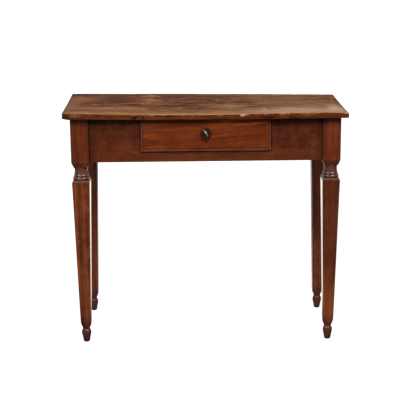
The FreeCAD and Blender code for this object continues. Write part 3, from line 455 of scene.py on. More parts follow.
def drawer_detail(graph, grain, colour, tones):
    """Figure on the drawer front with a patch of painted light, and painted highlights with dust and
    painted shade that follow its lip and the step inside it.
    """
    dark = tones[0]
    low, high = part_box("drawer_front")
    place = graph.parts(grain.coords)
    swirl = graph.drift(graph.vector("SCALE", grain.coords, FIGURE_SIZE), 3.0)
    pushed = graph.vector("MULTIPLY_ADD", swirl, FIGURE_PUSH, grain.coords)
    lit = graph.span(grain.fibre, *LIT_FIBRE)
    # Lighter figure, and the patch of painted light
    for centre, size, share in DRAWER_FIGURE_AND_PAINTED_LIGHT:
        flame_and_painted_light = graph.times(spot(graph, pushed, centre, size, share), lit)
        colour = graph.mix(flame_and_painted_light, colour, FLAME_AND_PAINTED_LIGHT_TONE)
    colour = add_spots(graph, colour, pushed, DRAWER_DARK, dark)
    sideways = graph.math("SUBTRACT", place["X"], low.x)
    sideways = graph.math("MINIMUM", sideways, graph.math("SUBTRACT", high.x, place["X"]))
    inward = graph.math("MINIMUM", sideways, graph.math("SUBTRACT", place["Z"], low.z))
    front = graph.span(place["Y"], *(low.y + depth for depth in LINE_DEPTH))
    patches = graph.noise(graph.vector("SCALE", grain.coords, LINE_PATCHES), 3.0, 0.6)
    patchy = graph.span(patches, *LINE_PATCHY)
    # Painted highlights with dust along the lip and the step, and painted shade in the recess and on the
    # lip's sides
    for reach, line, share, tone in (
        (inward, LIP_LINE, 0.36, LIP_HIGHLIGHT_AND_DUST),
        (sideways, RECESS_SHADE_LINE, 0.5, dark),
        (sideways, LIP_LINE, 0.3, dark),
        (inward, MOULDING_LINE, 0.14, LIP_HIGHLIGHT_AND_DUST),
    ):
        shown = graph.times(band(graph, reach, *line, LINE_BLUR, share), front)
        colour = graph.mix(graph.times(shown, patchy), colour, tone)
    inside = graph.span(place["Y"], *(high.y - depth for depth in INNER_FACE))
    return graph.mix(inside, colour, graph.ramp(grain.figure(*BARE_FIGURE), *INNER_BARE))


# Marks on the front apron: centre, size and share
APRON_DARK = (
    ((0.264, -0.18, 0.698), (0.004, 0.05, 0.028), 0.4),
    ((0.309, -0.18, 0.665), (0.006, 0.05, 0.008), 0.6),
    ((0.235, -0.18, 0.7), (0.005, 0.05, 0.02), 0.3),
    ((0.29, -0.18, 0.69), (0.09, 0.05, 0.035), 0.15),
)
APRON_LIGHT = (
    ((-0.231, -0.18, 0.653), (0.008, 0.05, 0.006), 0.8),
    ((0.22, -0.18, 0.655), (0.03, 0.05, 0.02), 0.25),
    ((-0.26, -0.18, 0.675), (0.035, 0.05, 0.025), 0.35),
)
# The apron is lighter low down: heights where that starts and is full, and its shares there
APRON_FADE = (0.69, 0.635, 0.0, 0.26)
# Grime and painted shade in the joints between the apron and the posts, and round them: distance out from
# the middle
JOINT_DIRT_AND_SHADE = (0.3745, 0.4)
JOINT_SHADE_BLUR = 0.004
JOINT_SHADE_SHARE = 0.65
JOINT_SHADE_TONE = srgb(22, 9, 6)
JOINT_SHADE_SPREAD = (0.345, 0.37, 0.0, 0.5)


def apron_detail(graph, grain, colour, tones):
    """Knocks and worn places on the front apron, and grime with painted shade where it meets the posts."""
    dark, _, light, _ = tones
    colour = add_spots(graph, colour, grain.coords, APRON_DARK, dark)
    colour = add_spots(graph, colour, grain.coords, APRON_LIGHT, light)
    place = graph.parts(grain.coords)
    colour = graph.mix(graph.span(place["Z"], *APRON_FADE), colour, light)
    side = graph.math("ABSOLUTE", place["X"])
    # Grime and painted shade in the joints with the posts, spreading round them
    colour = graph.mix(graph.span(side, *JOINT_SHADE_SPREAD), colour, dark)
    joint = band(graph, side, *JOINT_DIRT_AND_SHADE, JOINT_SHADE_BLUR, JOINT_SHADE_SHARE)
    return graph.mix(joint, colour, JOINT_SHADE_TONE)


# The bare top: shares of fibre, streak and blotch, then of that figure, patches and short streaks
TOP_FIGURE = (0.4, 0.4, 0.2)
TOP_FIGURE_SHARE = 0.2
TOP_PATCH_SHARE = 0.45
TOP_SHORT_SHARE = 0.35
TOP_TONES = (
    (0.41, srgb(42, 22, 13)),
    (0.46, srgb(82, 46, 26)),
    (0.505, srgb(114, 70, 41)),
    (0.55, srgb(145, 96, 60)),
    (0.61, srgb(186, 140, 96)),
)
# Rust-red patches: where they start and are full, and their shares there
RUST = (0.5, 0.64, 0.0, 0.5)
RUST_TONE = srgb(112, 56, 36)
# Stains and rubbed places on the top, and a painted sheen and a painted highlight at its front right:
# centre x and y, half length, half width, strength, colour
TOP_MARKS = {
    "red_area": (-0.284, 0.094, 0.085, 0.09, 0.6, srgb(108, 54, 38)),
    "brown_area": (-0.078, 0.093, 0.11, 0.09, 0.35, srgb(104, 62, 42)),
    "light_strip": (-0.31, -0.1, 0.15, 0.03, 0.65, srgb(158, 114, 78)),
    "grey_end": (-0.445, -0.03, 0.03, 0.14, 0.55, srgb(134, 104, 88)),
    "brown_strip": (-0.3, -0.158, 0.14, 0.012, 0.4, srgb(96, 58, 38)),
    "brown_front": (-0.12, -0.135, 0.08, 0.03, 0.5, srgb(88, 54, 36)),
    "dark_rear": (-0.1, 0.15, 0.11, 0.05, 0.5, srgb(84, 50, 36)),
    "dark_rear_left": (-0.33, 0.155, 0.1, 0.045, 0.6, srgb(84, 50, 38)),
    "dark_spill": (-0.3, 0.025, 0.075, 0.062, 0.62, srgb(70, 37, 24)),
    "pale_spot": (-0.185, 0.075, 0.014, 0.035, 0.55, srgb(160, 112, 70)),
    "long_dark_streak": (-0.11, -0.046, 0.07, 0.026, 0.75, srgb(62, 38, 28)),
    "dark_middle": (-0.03, -0.055, 0.07, 0.05, 0.45, srgb(84, 52, 36)),
    "orange_streak": (-0.411, 0.093, 0.045, 0.052, 0.65, srgb(152, 92, 56)),
    "ink_spot": (0.026, 0.085, 0.014, 0.03, 0.75, srgb(54, 36, 29)),
    "slanting_streak": (0.052, -0.006, 0.02, 0.04, 0.7, srgb(60, 38, 27)),
    "pale_streak": (0.088, -0.046, 0.05, 0.04, 0.4, srgb(170, 130, 92)),
    "pale_front": (0.06, -0.16, 0.045, 0.03, 0.45, srgb(170, 126, 86)),
    "brown_right": (0.27, 0.11, 0.15, 0.09, 0.45, srgb(142, 98, 72)),
    "worn_right": (0.3, -0.03, 0.13, 0.1, 0.35, srgb(158, 114, 82)),
    # Painted sheen over the front right of the top
    "painted_sheen_front_right": (0.3, -0.15, 0.17, 0.07, 0.73, srgb(180, 152, 126)),
    # Painted highlight at the front right corner
    "painted_highlight_front_right_corner": (0.425, -0.11, 0.03, 0.1, 0.55, srgb(204, 170, 146)),
    "pale_chip": (0.196, -0.096, 0.01, 0.012, 0.8, srgb(186, 146, 110)),
    "grey_corner": (-0.405, 0.186, 0.07, 0.045, 0.75, srgb(66, 50, 48)),
}
# The stains' edges: where they end and are full, how far they are ragged, and how far streaks cut in
MARK_EDGE = (1.3, 0.45)
RAG_PUSH = (0.09, 0.05, 0.0)
STREAKY_EDGE = 2.4
# The worn strip along the front: depths where it starts and is full, and its shares there
FRONT_STRIP = (-0.12, -0.2, 0.0, 0.5)
FRONT_STRIP_TONE = srgb(172, 122, 82)
# Scratches across the grain: angles, the place with most, and where they show beside the rust
SCRATCH_ANGLES = (math.radians(28), math.radians(-14))
SCRATCHED_PLACE = ((0.075, -0.04, 0.78), (0.1, 0.09, 0.1), 1.0)
SCRATCHED_RUST = (0.5, 0.38, 0.0, 0.5)
SCRATCH = (0.57, 0.68, 0.0, 0.55)
SCRATCH_TONE = srgb(178, 136, 100)
# Open pores: start and full, share, tone and depth
TOP_PORE = (0.56, 0.68)
TOP_PORE_SHARE = 0.45
TOP_PORE_TONE = srgb(46, 27, 19)
TOP_PORE_DEPTH = 0.35


def bare_top(graph, grain, value, short, ragged):
    """The colour of the upper face: worn wood with stains and scratches, and a painted sheen and highlight
    at its front right.
    """
    colour = graph.ramp(value, *TOP_TONES)
    rust = grain.pattern("rust", grain.plain)
    colour = graph.mix(graph.span(rust, *RUST), colour, RUST_TONE)
    # Stains and rubbed places, and the painted sheen and highlight
    for x, y, length, width, strength, tone in TOP_MARKS.values():
        offset = graph.vector("SUBTRACT", ragged, (x, y, 0.0))
        flat = graph.vector("MULTIPLY", offset, (1 / length, 1 / width, 0.0))
        away = graph.math("MULTIPLY_ADD", short, STREAKY_EDGE, graph.vector("LENGTH", flat))
        away = graph.math("MULTIPLY_ADD", grain.fibre, STREAKY_EDGE, away)
        inside = graph.span(away, *(edge + STREAKY_EDGE for edge in MARK_EDGE), 0.0, strength)
        colour = graph.mix(inside, colour, tone)
    strip = graph.span(graph.parts(ragged)["Y"], *FRONT_STRIP)
    colour = graph.mix(strip, colour, FRONT_STRIP_TONE)
    cut_up = spot(graph, ragged, *SCRATCHED_PLACE)
    cut_up = graph.math("MAXIMUM", cut_up, graph.span(rust, *SCRATCHED_RUST))
    for angle in SCRATCH_ANGLES:
        slanted = graph.node("ShaderNodeMapping", Vector=grain.coords, Rotation=(0, 0, angle))
        scratch = graph.span(grain.pattern("scratch", slanted.outputs["Vector"]), *SCRATCH)
        colour = graph.mix(graph.times(scratch, cut_up), colour, SCRATCH_TONE)
    return colour


# The old polish left on the top's edges, and the bare underside
EDGE_TONES = ((0.4, srgb(58, 26, 14)), (0.5, srgb(94, 46, 22)), (0.62, srgb(118, 62, 34)))
EDGE_CLOUD = (0.5, 0.66, 0.0, 0.6)
EDGE_CLOUD_TONE = srgb(50, 21, 12)
UNDER_TONES = ((0.4, srgb(88, 60, 40)), (0.6, srgb(134, 98, 66)))
# Where the edge's polish is worn golden: centre, size and share
GOLDEN_EDGE = ((-0.32, -0.207, 0.777), (0.12, 0.03, 0.014), 0.12)
GOLDEN_TONE = srgb(140, 82, 38)
# How far a face points up where it is an edge, and where it is the underside
EDGE_FACING = (0.88, 0.6)
UNDER_FACING = (-0.6, -0.9)
# Dark knots and light chips on the top's front edge and right end: centre, size and share
EDGE_KNOTS = (
    ((-0.344, -0.207, 0.777), (0.007, 0.02, 0.005), 0.5),
    ((-0.31, -0.207, 0.772), (0.012, 0.02, 0.004), 0.35),
    ((-0.225, -0.207, 0.77), (0.012, 0.02, 0.008), 0.85),
    ((-0.2, -0.207, 0.772), (0.007, 0.02, 0.007), 0.85),
    ((0.2, -0.207, 0.768), (0.03, 0.02, 0.006), 0.6),
    ((0.28, -0.207, 0.766), (0.02, 0.02, 0.006), 0.6),
)
KNOT_TONE = srgb(24, 9, 5)
EDGE_CHIPS = (
    ((0.1205, -0.207, 0.7745), (0.01, 0.012, 0.0035), 0.85),
    ((0.196, -0.12, 0.78), (0.01, 0.012, 0.01), 0.6),
    ((0.43, -0.07, 0.78), (0.008, 0.03, 0.01), 0.2),
    ((0.436, 0.06, 0.78), (0.006, 0.03, 0.01), 0.35),
    ((0.45, -0.2, 0.778), (0.006, 0.012, 0.004), 0.4),
)
CHIP_TONE = srgb(206, 166, 136)
NICK_PUSH = (0.03, 0.03, 0.0)
# Dirt on the rims, rubbed arrises, and painted shade in the corners
RIM_TONE = srgb(56, 40, 33)
RIM_SHARE = 0.75
RUBBED_TONE = srgb(190, 136, 92)
RUBBED_SHARE = 0.85
TOP_CORNER_SHADE = (0.02, 0.2, 0.75)
TOP_SHADE_TONE = srgb(26, 14, 10)
TOP_SHADE_SHARE = 0.6
TOP_ROUGHNESS = (0.55, 0.75)


def worn_top_wood(name, seed):
    """Bare board, its polish worn off in streaks, with stains, a painted sheen and highlight, light rubbed
    arrises and painted shade in its corners.
    """
    graph = new_graph(name)
    grain = Grain(graph, "x", seed)
    figure = grain.figure(*TOP_FIGURE)
    short = grain.pattern("short streak", grain.wavy)
    value = graph.times(figure, TOP_FIGURE_SHARE)
    value = graph.math("MULTIPLY_ADD", grain.pattern("patch", grain.wavy), TOP_PATCH_SHARE, value)
    value = graph.math("MULTIPLY_ADD", short, TOP_SHORT_SHARE, value)
    swirl = grain.push("ragged", grain.plain)
    ragged = graph.vector("MULTIPLY_ADD", swirl, RAG_PUSH, grain.coords)
    colour = bare_top(graph, grain, value, short, ragged)
    pores = graph.span(grain.pattern("pore", grain.wavy), *TOP_PORE)
    colour = graph.mix(graph.times(pores, TOP_PORE_SHARE), colour, TOP_PORE_TONE)
    facing = graph.parts(graph.node("ShaderNodeNewGeometry").outputs["Normal"])["Z"]
    polish = graph.ramp(figure, *EDGE_TONES)
    cloud = grain.pattern("edge cloud", grain.plain)
    polish = graph.mix(graph.span(cloud, *EDGE_CLOUD), polish, EDGE_CLOUD_TONE)
    polish = add_spots(graph, polish, ragged, [GOLDEN_EDGE], GOLDEN_TONE)
    colour = graph.mix(graph.span(facing, *EDGE_FACING), colour, polish)
    colour = graph.mix(graph.span(facing, *UNDER_FACING), colour, graph.ramp(figure, *UNDER_TONES))
    grimy = graph.node("ShaderNodeAttribute", {"attribute_name": "grime"}).outputs["Fac"]
    colour = graph.mix(graph.times(grimy, RIM_SHARE), colour, RIM_TONE)
    nicked = graph.vector("MULTIPLY_ADD", swirl, NICK_PUSH, grain.coords)
    colour = add_spots(graph, colour, nicked, EDGE_KNOTS, KNOT_TONE)
    rubbed = graph.node("ShaderNodeAttribute", {"attribute_name": "wear"}).outputs["Fac"]
    colour = graph.mix(graph.times(rubbed, RUBBED_SHARE), colour, RUBBED_TONE)
    colour = add_spots(graph, colour, nicked, EDGE_CHIPS, CHIP_TONE)
    # Painted shade in the corners
    painted_shade = graph.times(crevice_mask(graph, *TOP_CORNER_SHADE), TOP_SHADE_SHARE)
    colour = graph.mix(painted_shade, colour, TOP_SHADE_TONE)
    height = graph.math("SUBTRACT", value, graph.times(pores, TOP_PORE_DEPTH))
    bump = graph.node("ShaderNodeBump", Strength=0.5, Distance=0.0008, Height=height)
    return graph.shader(
        Base_Color=colour,
        Roughness=graph.span(grain.blotch, *GLOSS_BLOTCH, *TOP_ROUGHNESS),
        Normal=bump.outputs["Normal"],
        Specular_IOR_Level=0.02,
    )


# Softwood: tones along its figure, then painted shade in corners as for the polish, and roughness
SOFTWOOD_TONES = ((0.36, srgb(112, 74, 42)), (0.5, srgb(160, 114, 70)), (0.64, srgb(190, 146, 98)))
SOFTWOOD_CORNER_SHADE = (0.02, 0.2, 0.8)
SOFTWOOD_SHADE_TONE = srgb(60, 38, 22)
SOFTWOOD_SHADE_SHARE = 0.5
SOFTWOOD_ROUGHNESS = (0.6, 0.78)


def plain_wood(name, axis, seed):
    """Unpolished softwood inside the table, browned by age, with painted shade in its corners."""
    graph = new_graph(name)
    grain = Grain(graph, axis, seed)
    figure = grain.figure(*BARE_FIGURE)
    # Painted shade in the corners
    painted_shade = graph.times(crevice_mask(graph, *SOFTWOOD_CORNER_SHADE), SOFTWOOD_SHADE_SHARE)
    colour = graph.mix(painted_shade, graph.ramp(figure, *SOFTWOOD_TONES), SOFTWOOD_SHADE_TONE)
    roughness = graph.span(grain.blotch, *GLOSS_BLOTCH, *SOFTWOOD_ROUGHNESS)
    bump = graph.node("ShaderNodeBump", Strength=0.4, Distance=0.0006, Height=figure)
    return graph.shader(Base_Color=colour, Roughness=roughness, Normal=bump.outputs["Normal"])


# Old metal: fine scratches, handled arrises as for the polish, and where clouds turn it bright
METAL_SCRATCHES = (900.0, 900.0, 160.0)
METAL_ARRIS = (0.0012, 0.02, 0.2)
METAL_ARRIS_SHARE = 0.85
METAL_CLOUD = (0.42, 0.62)
# Painted shade in the metal's corners, where the key's shadow falls on the plate: reach and openness, then
# its tone
METAL_CORNER_SHADE = (0.03, 0.5, 0.96)
METAL_SHADE_TONE = srgb(14, 9, 6)


def old_metal(name, dull, bright, roughness, cloud_size, metallic=1.0, shade_in_corners=0.0):
    """Metal, bright where it is handled and dull elsewhere, with painted shade in its corners.

    roughness is that of the dull metal and of the bright.
    """
    graph = new_graph(name)
    coords = graph.node("ShaderNodeTexCoord").outputs["Object"]
    cloud = graph.noise(graph.vector("SCALE", coords, cloud_size), 4.0, 0.6)
    scratch = graph.noise(graph.vector("MULTIPLY", coords, METAL_SCRATCHES), 3.0, 0.6)
    rounded, rubbed = arrises(graph, *METAL_ARRIS)
    handled = graph.times(rubbed, METAL_ARRIS_SHARE)
    share = graph.math("MAXIMUM", graph.span(cloud, *METAL_CLOUD), handled)
    colour = graph.mix(share, dull, bright)
    # Painted shade in the corners, where the key's shadow falls on the plate
    if shade_in_corners:
        painted_shade = graph.times(crevice_mask(graph, *METAL_CORNER_SHADE), shade_in_corners)
        colour = graph.mix(painted_shade, colour, METAL_SHADE_TONE)
    bump = graph.node("ShaderNodeBump", Strength=0.25, Distance=0.0002, Height=scratch, Normal=rounded)
    return graph.shader(
        Base_Color=colour,
        Roughness=graph.span(share, 0.0, 1.0, *roughness),
        Normal=bump.outputs["Normal"],
        Metallic=metallic,
    )


def dress(material, *names):
    """Give CAD nodes a finish."""
    for name in names:
        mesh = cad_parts[name].data
        mesh.materials.clear()
        mesh.materials.append(material)


# Tones of the polish: dark, middle, light, rubbed
DRAWER_TONES = (srgb(78, 28, 8), srgb(114, 47, 11), srgb(140, 65, 18), srgb(158, 110, 88))
LEG_TONES = (srgb(66, 28, 13), srgb(124, 57, 24), srgb(160, 83, 37), srgb(162, 104, 70))
APRON_TONES = (srgb(47, 18, 8), srgb(91, 39, 15), srgb(119, 56, 22), srgb(136, 80, 49))
REAR_LEG_TONES = (srgb(58, 27, 16), srgb(108, 52, 27), srgb(142, 75, 40), srgb(150, 98, 68))


class LegLook(NamedTuple):
    """A leg's tones, its darker stretch and by how much, gloss, marks and light near the foot."""

    tones: tuple
    stretch: tuple
    darker: float
    coat: float
    marks: float = 0.0
    foot_light: float = 0.0


LEG_LOOKS = {
    "front_left_leg": LegLook(LEG_TONES, (0.06, 0.16), 0.1, coat=1.0, marks=0.25),
    "front_right_leg": LegLook(LEG_TONES, (0.24, 0.62), 0.64, coat=1.0, foot_light=0.4),
    "rear_left_leg": LegLook(REAR_LEG_TONES, (0.38, 0.62), 0.5, coat=0.1),
    "rear_right_leg": LegLook(REAR_LEG_TONES, (0.3, 0.62), 0.55, coat=0.1),
}
LEG_SEEDS = (13, 16, 19, 22)


def dress_frame():
    """Polish on the drawer's front, the aprons and the legs."""
    drawer_polish = stained_wood(
        "drawer_polish", "rising x", 3, DRAWER_TONES, streaks=0.8, mottle=0.4,
        detail=drawer_detail, grime=0.3, shade=0.05, coat=0.4,
    )
    dress(drawer_polish, "drawer_front")
    front_polish = stained_wood(
        "front_polish", "x", 7, APRON_TONES, streaks=0.4, mottle=0.5, marks=0.7,
        detail=apron_detail, gap=0.02, shade=0.52,
    )
    dress(front_polish, "front_apron")
    plain_looks = {"streaks": 0.6, "mottle": 0.6, "marks": 0.3}
    dress(stained_wood("rear_polish", "x", 11, APRON_TONES, **plain_looks), "rear_apron")
    dress(stained_wood("side_polish", "y", 5, APRON_TONES, **plain_looks), "left_apron", "right_apron")
    for seed, (leg, look) in zip(LEG_SEEDS, LEG_LOOKS.items()):
        polish = stained_wood(
            f"{leg}_polish", "z", seed, look.tones, streaks=0.8, mottle=0.4, marks=look.marks,
            detail=leg_detail(look.stretch, look.darker, look.foot_light),
            rub=0.15, grime=0.6, gap=0.008, coat=look.coat,
        )
        dress(polish, leg)


def dress_inside():
    """Softwood inside the table and the drawer."""
    lengthwise = plain_wood("lengthwise_softwood", "y", 2)
    dress(lengthwise, "drawer_left_side", "drawer_right_side", "left_drawer_guide", "right_drawer_guide")
    dress(lengthwise, "left_drawer_runner", "right_drawer_runner", "top_dowels")
    dress(lengthwise, "left_glue_blocks", "right_glue_blocks")
    crosswise = plain_wood("crosswise_softwood", "x", 4)
    dress(crosswise, "drawer_back", "drawer_bottom", "front_glue_blocks", "rear_glue_blocks")


def dress_metal():
    """Iron nails and lock, brass plate and steel key."""
    iron = old_metal("dark_iron_finish", srgb(38, 34, 32), srgb(96, 90, 86), (0.6, 0.38), 180.0)
    dress(iron, "guide_nails", "drawer_bottom_nails")
    dress(iron, "lock_plate", "lock_cap", "lock_bolt", "lock_spring", "lock_pin", "lock_screws")
    # The brass gets painted shade in its corners, where the key's shadow falls on the plate
    brass = old_metal(
        "aged_brass_finish", srgb(56, 24, 3), srgb(104, 60, 15), (0.6, 0.42), 140.0, metallic=0.6, shade_in_corners=0.85
    )
    dress(brass, "escutcheon", "escutcheon_pins")
    steel = old_metal(
        "key_steel_finish", srgb(150, 132, 114), srgb(216, 200, 180), (0.5, 0.38), 200.0, metallic=0.85
    )
    dress(steel, "key")


# The boards' grid: cell size and width of the fine rim, in plan and in height, rim's steps, least cell
PLAN_GRID = (0.0042, 0.006)
HEIGHT_GRID = (0.002, 0.005)
RIM_STEPS = np.array([0.0, 0.2, 0.4, 0.6, 0.8])
LEAST_CELL = 0.001


def grid_lines(low, high, step, rim):
    """Places from low to high, close together within rim of both ends."""
    count = max(2, round((high - low - 2 * rim) / step))
    inner = np.linspace(low + rim, high - rim, count + 1)
    edge = rim * RIM_STEPS
    return np.concatenate([low + edge, inner, np.sort(high - edge)])


def add_lines(lines, extra):
    """Grid lines with some more, in place of those that would lie too close to them."""
    apart = np.abs(lines[:, None] - np.array(extra)).min(axis=1)
    return np.sort(np.concatenate([lines[apart > LEAST_CELL], extra]))


def shell(lines, cut):
    """Points and faces of a closed box with grid lines at the given places, less the cells in cut."""
    filled = np.ones([len(places) - 1 for places in lines], int)
    if cut:
        filled[cut] = 0
    filled = np.pad(filled, 1)
    loops = []
    for axis in range(3):
        first, second = (axis + 1) % 3, (axis + 2) % 3
        step = np.diff(filled, axis=axis)
        for sign, order in ((-1, (0, 1, 2, 3)), (1, (3, 2, 1, 0))):
            cells = np.argwhere(step == sign)
            cells[:, [first, second]] -= 1
            corners = np.repeat(cells[:, None, :], 4, axis=1)
            corners[:, 1:3, first] += 1
            corners[:, 2:4, second] += 1
            loops.append(corners[:, order])
    used, index = np.unique(np.concatenate(loops).reshape(-1, 3), axis=0, return_inverse=True)
    points = np.column_stack([places[row] for places, row in zip(lines, used.T)])
    return points, index.reshape(-1, 4).tolist()


def soften(past_one, past_two):
    """A square corner made round: how far a point lies past the two inner lines, before and after."""
    reach = np.maximum(past_one, past_two)
    length = np.maximum(np.hypot(past_one, past_two), 1e-9)
    return past_one * reach / length, past_two * reach / length


# How far one step of a seed moves the boards' unevenness
WAVE_SHIFT = Vector((3.1, 1.7, 0.9))


def add_waves(points, seed, waves, start=0.0):
    """Smooth unevenness at each point; each wave has a size, a step of the seed and a height."""
    total = start
    for size, step, height in waves:
        shift = WAVE_SHIFT * (seed + step)
        total = total + np.array([noise.noise(Vector(p) / size + shift) for p in points]) * height
    return total


# The warp of the top: places along its front edge and how far they lie off the flat, then the rest
FRONT_EDGE = (
    (-0.458, 0.0069),
    (-0.41, 0.0062),
    (-0.365, 0.0052),
    (-0.3, 0.0035),
    (-0.16, 0.0009),
    (-0.1, -0.0003),
    (-0.03, -0.0014),
    (0.06, -0.0012),
    (0.17, 0.0005),
    (0.26, 0.0019),
    (0.35, 0.0026),
    (0.458, -0.0012),
)
EDGE_DEGREE = 5
REAR_LIFT_LEFT = 0.0088
REAR_LIFT_RIGHT = -0.003
REAR_BOW = 0.0013
TOP_DISH = 0.002
# The under edge of the overhang rises towards its ends: its width, rises and power
OVERHANG = 0.02
UNDER_RISE_LEFT = 0.0074
UNDER_RISE_RIGHT = 0.001
UNDER_RISE_POWER = 2.5
# How far the left end is out of square, at the front and at the back
LEFT_END_SKEW = (0.0016, 0.0058)
# Radii of the arrises, upper, under and along the seam, and of the corners in plan
WORN_RADIUS = 0.0032
UNDER_RADIUS = 0.0022
SEAM_RADIUS = 0.0007
CORNER_RADIUS = 0.007
# The slot under the top that the bolt rises into: room round it, and depth
SLOT_GAP = 0.001
SLOT_DEPTH = 0.0065
# Dents in the arrises: number, share on the ends, reach, depth, share of it at the back, length, wear
DENT_COUNT = 46
END_DENTS = 0.25
DENT_REACH = (0.003, 0.011)
DENT_DEPTH = (0.0006, 0.0022)
REAR_DENTS = 0.3
DENT_LENGTH = 1.6
DENT_WEAR = (0.0, 0.5)
# Hand-planed unevenness, and patches in the wear: size, step of the seed and height
PLANING = ((0.09, 0, 0.0005), (0.018, 5, 0.00012))
PATCHES = ((0.05, 9, 0.7), (0.012, 11, 0.5))
PATCH_MIDDLE = 0.6
# How far the wear shows along the front edge, place and share, and its width
EDGE_WEAR = ((-0.46, 0.2), (-0.3, 0.65), (-0.15, 1.0), (0.46, 0.75))
EDGE_WEAR_WIDTH = 0.008
# Share of a board's thickness where the wear starts, and over which it grows
WEAR_LEVEL = 0.9
WEAR_GROWTH = 0.09
# Widths of the dark rim on the ends and at the back, and where the right end turns dark
RIM_WIDTH = 0.006
REAR_RIM_WIDTH = 0.013
CLEAN_END = (0.25, 0.6)
# Share of these widths over which wear and dirt are full, and the least dirt between patches
RIM_FULL = 0.3
RIM_LEAST = 0.3

table_low, table_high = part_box("top_front_plank")[0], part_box("top_rear_plank")[1]
bolt_low, bolt_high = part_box("lock_bolt")
bolt_slot = (
    (bolt_low.x - SLOT_GAP, bolt_high.x + SLOT_GAP),
    (bolt_low.y - SLOT_GAP, bolt_high.y + SLOT_GAP),
    (table_low.z, table_low.z + SLOT_DEPTH),
)
front_line = np.polynomial.Polynomial.fit(*zip(*FRONT_EDGE), EDGE_DEGREE)


def share_back(y):
    """0 at the top's front edge and 1 at its rear edge."""
    return (y - table_low.y) / (table_high.y - table_low.y)


def top_warp(x, y):
    """Height of the warped top surface over its flat place."""
    across = (x - table_low.x) / (table_high.x - table_low.x)
    back = share_back(y)
    straight = FRONT_EDGE[0][1] * (1 - across) + FRONT_EDGE[-1][1] * across
    rear = REAR_LIFT_LEFT * (1 - across) + REAR_LIFT_RIGHT * across
    rear = rear + REAR_BOW * np.sin(np.pi * across)
    bow = (front_line(x) - straight) * (1 - back) ** 2
    return straight * (1 - back) + rear * back + bow - TOP_DISH * np.sin(np.pi * back)


class Board:
    """One flat board of the top as a fine grid; outer is -1 where its free long edge is the front one."""

    def __init__(self, node, outer, slot):
        low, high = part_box(node)
        self.low, self.high, self.outer = low, high, outer
        grids = zip(low, high, (PLAN_GRID, PLAN_GRID, HEIGHT_GRID))
        lines = [grid_lines(start, end, *grid) for start, end, grid in grids]
        cut = None
        if slot:
            lines = [add_lines(places, ends) for places, ends in zip(lines, slot)]
            cut = tuple(slice(*np.searchsorted(places, ends)) for places, ends in zip(lines, slot))
        self.flat, self.faces = shell(lines, cut)
        self.middle = (low.x + high.x) / 2
        self.half = (high.x - low.x) / 2
        self.free = low.y if outer < 0 else high.y
        x, y, z = self.flat.T
        self.side = np.sign(x - self.middle)
        self.end_gap = self.half - np.abs(x - self.middle)
        self.free_gap = (self.free - y) * outer
        self.seam_gap = (high.y - low.y) - self.free_gap
        # the share of the warp that a point takes: none on the underside and in the slot
        self.share = np.clip((z - low.z) / (high.z - low.z), 0, 1)
        if slot:
            within = [(part >= start) & (part <= end) for part, (start, end) in zip(self.flat.T, slot)]
            self.share[np.all(within, axis=0)] = 0


def round_edges(board):
    """The board's points, its corners rounded in plan and its arrises most on the free edges."""
    x, y, z = board.flat.T.copy()
    past_x = np.maximum(np.abs(x - board.middle) - (board.half - CORNER_RADIUS), 0)
    past_y = np.maximum((y - board.free) * board.outer + CORNER_RADIUS, 0)
    new_x, new_y = soften(past_x, past_y)
    x = x - board.side * (past_x - new_x)
    y = y - board.outer * (past_y - new_y)
    for gap, top_round, under_round, out_x, out_y in (
        (board.end_gap, WORN_RADIUS, UNDER_RADIUS, board.side, 0),
        (board.free_gap, WORN_RADIUS, UNDER_RADIUS, 0, board.outer),
        (board.seam_gap, SEAM_RADIUS, SEAM_RADIUS, 0, -board.outer),
    ):
        for reach, level, up in ((top_round, board.high.z, 1), (under_round, board.low.z, -1)):
            past_side = np.maximum(reach - gap, 0)
            past_height = np.maximum(reach - (level - board.flat[:, 2]) * up, 0)
            new_side, new_height = soften(past_side, past_height)
            x = x - out_x * (past_side - new_side)
            y = y - out_y * (past_side - new_side)
            z = z - up * (past_height - new_height)
    return x, y, z


def warp(board, x, y, z):
    """The points on the warped top, with the under edge eased and the left end out of square."""
    overhang = np.clip(1 - np.minimum(board.free_gap, board.end_gap) / OVERHANG, 0, 1)
    lift = np.where(x < board.middle, UNDER_RISE_LEFT, UNDER_RISE_RIGHT)
    rise = lift * np.clip(np.abs(x - board.middle) / board.half, 0, 1) ** UNDER_RISE_POWER * overhang
    z = z + board.share * top_warp(x, y) + (1 - board.share) * rise
    back = share_back(y)
    skew = LEFT_END_SKEW[0] * (1 - back) + LEFT_END_SKEW[1] * back
    x = x - skew * np.clip((board.middle - x) / board.half, 0, 1) ** 2
    return np.column_stack([x, y, z])


def dent(board, smooth, seed):
    """The points with dents knocked into the arrises, and how far each point is rubbed by them."""
    dice = random.Random(seed)
    points = smooth.copy()
    rubbed = np.zeros(len(points))
    for _ in range(DENT_COUNT):
        along = dice.uniform(-board.half, board.half)
        reach = dice.uniform(*DENT_REACH)
        depth = dice.uniform(*DENT_DEPTH) * (1.0 if board.outer < 0 else REAR_DENTS)
        if dice.random() < END_DENTS:
            end_x = board.middle + board.half * dice.choice((-1, 1))
            centre = np.array([end_x, dice.uniform(board.low.y, board.high.y), board.high.z])
            push = np.array([-np.sign(end_x), 0, -1])
        else:
            centre = np.array([board.middle + along, board.free, board.high.z])
            push = np.array([0, -board.outer, -1])
        size = np.array([reach * DENT_LENGTH, reach, reach])
        away = np.linalg.norm((points - centre) / size, axis=1)
        hit = np.clip(1 - away**2, 0, 1) ** 2
        points += hit[:, None] * push * depth
        rubbed = np.maximum(rubbed, hit * dice.uniform(*DENT_WEAR))
    return points, rubbed


